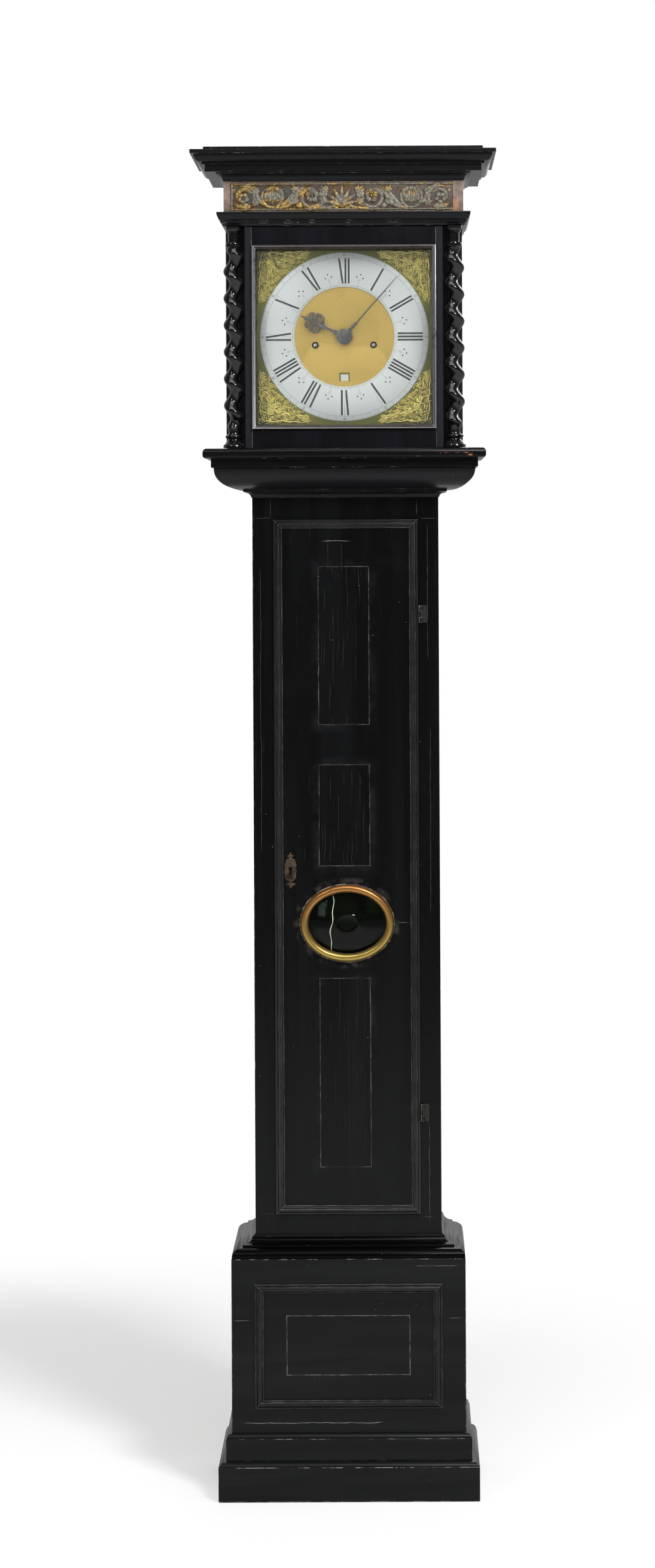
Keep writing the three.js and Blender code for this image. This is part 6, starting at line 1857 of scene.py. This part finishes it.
# %% Bell
bell_x, bell_y, mouth = 30, 5.05, 1908.9
crown = high["bell"].z - mouth
wall = [(0, 29.6), (7, 29.4), (15, 28.2), (25, 25.0), (33, 20.4), (38.5, 14.5), (41.6, 8), (43.6, 3),
        (45, 0.8), (44.8, 0), (41.6, 0), (40.4, 3), (38.4, 8), (35.4, 13.6), (30.2, 18.6), (23, 22.6),
        (14, 25.6), (6, 26.8), (0, 27)]
stand = [(0, -5), (3.4, -5), (3.4, -1), (3, 0), (3, 24), (5, 26), (5, 27.2), (3, 27.4), (7, 28.8),
         (7.2, 29.6), (6.4, crown - 0.5), (5, crown), (0, crown)]
post_y = back_plate + plate_thick + seam
parts = [lathe(wall, (bell_x, bell_y, mouth), "Z", 72, 50), lathe(stand, (bell_x, bell_y, mouth), "Z", 28),
         block(bell_x - 4, bell_x + 4, post_y, post_y + 3, plate_top - 30, mouth - 1),
         block(bell_x - 4, bell_x + 4, bell_y - 4, post_y + 3, mouth - 6, mouth - 2)]
placed("bell_turned", parts, "bell", bell_metal)
print("bell: %.0f mm across" % (2 * max(radius for radius, up in wall)))

# %% Pendulum
rod_foot, rod_top = levels("pendulum_rod")
spring_foot = 1847.4
rod = [(0, rod_foot), (1.6, rod_foot + 0.3), (2.0, rod_foot + 1), (2.0, rod_foot + 16),
       (2.5, rod_foot + 16.5), (2.5, spring_foot - 9), (2.2, spring_foot - 6), (0, spring_foot - 6)]
bob_z = centre_of("pendulum_bob").z
nut = [(0, -6), (5.6, -6), (6.2, -5.6), (7, -5), (7, -1), (6.2, -0.4), (5.6, 0), (0, 0)]
parts = [lathe(rod, (0, hang_y, 0), "Z", 20),
         block(-5, 5, hang_y - 3, hang_y + 3, spring_foot - 10, spring_foot, 0.7),
         block(-3, 3, hang_y - 0.5, hang_y + 0.5, spring_foot - 1, rod_top, 0.1),
         lathe(nut, (0, hang_y, bob_z - 57), "Z", 36)]
placed("pendulum_rod_drawn", parts, "pendulum_rod", steel)
lentil = [(0, -13)] + [(r, -13 * sqrt(1 - (r / 55.2) ** 2) ** 1.15 - 0.6 * (r / 55))
                       for r in range(5, 55, 4)] + [(54.6, -1.5), (55, -1.0)]
lentil += [(r, -y) for r, y in reversed(lentil)]
placed("pendulum_bob_spun", lathe(lentil, (0, hang_y, bob_z), "Y", 96, 50), "pendulum_bob",
       weight_brass)
print("pendulum: %.0f mm from spring to bob" % (hang_z - bob_z))

# %% Weights
shell = [(0, 0), (24, 0), (26.4, 0.5), (28.2, 1.8), (29, 4), (29, 7.4), (28.5, 8), (28.5, 9), (29, 9.6),
         (29, 159), (28.5, 159.6), (28.5, 160.6), (29, 161.2), (29, 164), (28.3, 166.6), (26.6, 168.6),
         (24, 169.6), (10, 170), (8, 170.2), (3.5, 171), (3.5, 174), (0, 174)]
half_hub = [(0, -2.5), (6, -2.5), (6, -1.4), (19, -1.4), (19, -2.5), (23.4, -2.5), (24, -2.2), (23.3, -0.9)]
hub = half_hub + [(radius, -along) for radius, along in reversed(half_hub)]
pin = [(0, -6.4), (1.8, -6.4), (2.5, -5.8), (2.5, 5.8), (1.8, 6.4), (0, 6.4)]
reach = 25.3  # of a line from the middle of its pulley
knot = 1715.6 + seam
for side in ("strike", "going"):
    node, line = "weight_" + side, "line_" + side
    x, foot = centre_of(node).x, low[node].z
    cap = foot + 170
    pulley = cap + 42
    parts = [lathe(shell, (x, barrel_y, foot), "Z", 72, 50), lathe(hub, (x, barrel_y, pulley), "Y", 72),
             block(x - 6, x + 6, barrel_y - 5.4, barrel_y - 3.4, cap + 3, pulley + 9, 0.5),
             block(x - 6, x + 6, barrel_y + 3.4, barrel_y + 5.4, cap + 3, pulley + 9, 0.5),
             block(x - 6, x + 6, barrel_y - 5.4, barrel_y + 5.4, cap + 2, cap + 7, 0.6),
             lathe(pin, (x, barrel_y, pulley), "Y", 20)]
    placed(node + "_turned", parts, node, weight_brass)

    path = [(reach, knot + 4.8, 0.6), (reach, knot + 4.5, 1.2), (reach + 0.3, knot + 4.2, 2.2),
            (reach, knot + 3.6, 3.0), (reach - 0.2, knot + 2.4, 2.7), (reach + 0.2, knot + 1.2, 3.0),
            (reach, knot + 0.4, 2.4), (reach, knot, 1.0), (reach, knot - 40, 1.0),
            (reach, pulley + 60, 1.0), *[(*spot, 1.0) for spot in arc(0, pulley, reach, reach, 0, -180, 24)],
            (-reach, pulley + 60, 1.0), (-reach, 1700, 1.0), (-reach, winding_z - 1, 1.0),
            (-reach, winding_z, 0.6)]
    rings = []
    for i, (u, v, radius) in enumerate(path):
        before, after = path[max(i - 1, 0)], path[min(i + 1, len(path) - 1)]
        along = Vector((after[0] - before[0], after[1] - before[1])).normalized()
        if abs(u - reach) < 0.5 and v > knot - 60:  # the knot is tied in a straight line
            along = Vector((0, -1))
        rings.append([(x + u - along.y * a, barrel_y + b, v + along.x * a)
                      for a, b in circle(0, 0, radius, 12)])
    mesh = mesh_of("gut", *sweep(rings, False), 60)
    mesh.materials.append(gut)
    run = shown(line + "_laid", mesh)
    x * mm
    x * mm
    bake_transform(run)
    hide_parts(line)
print("weights: 2, with their lines")
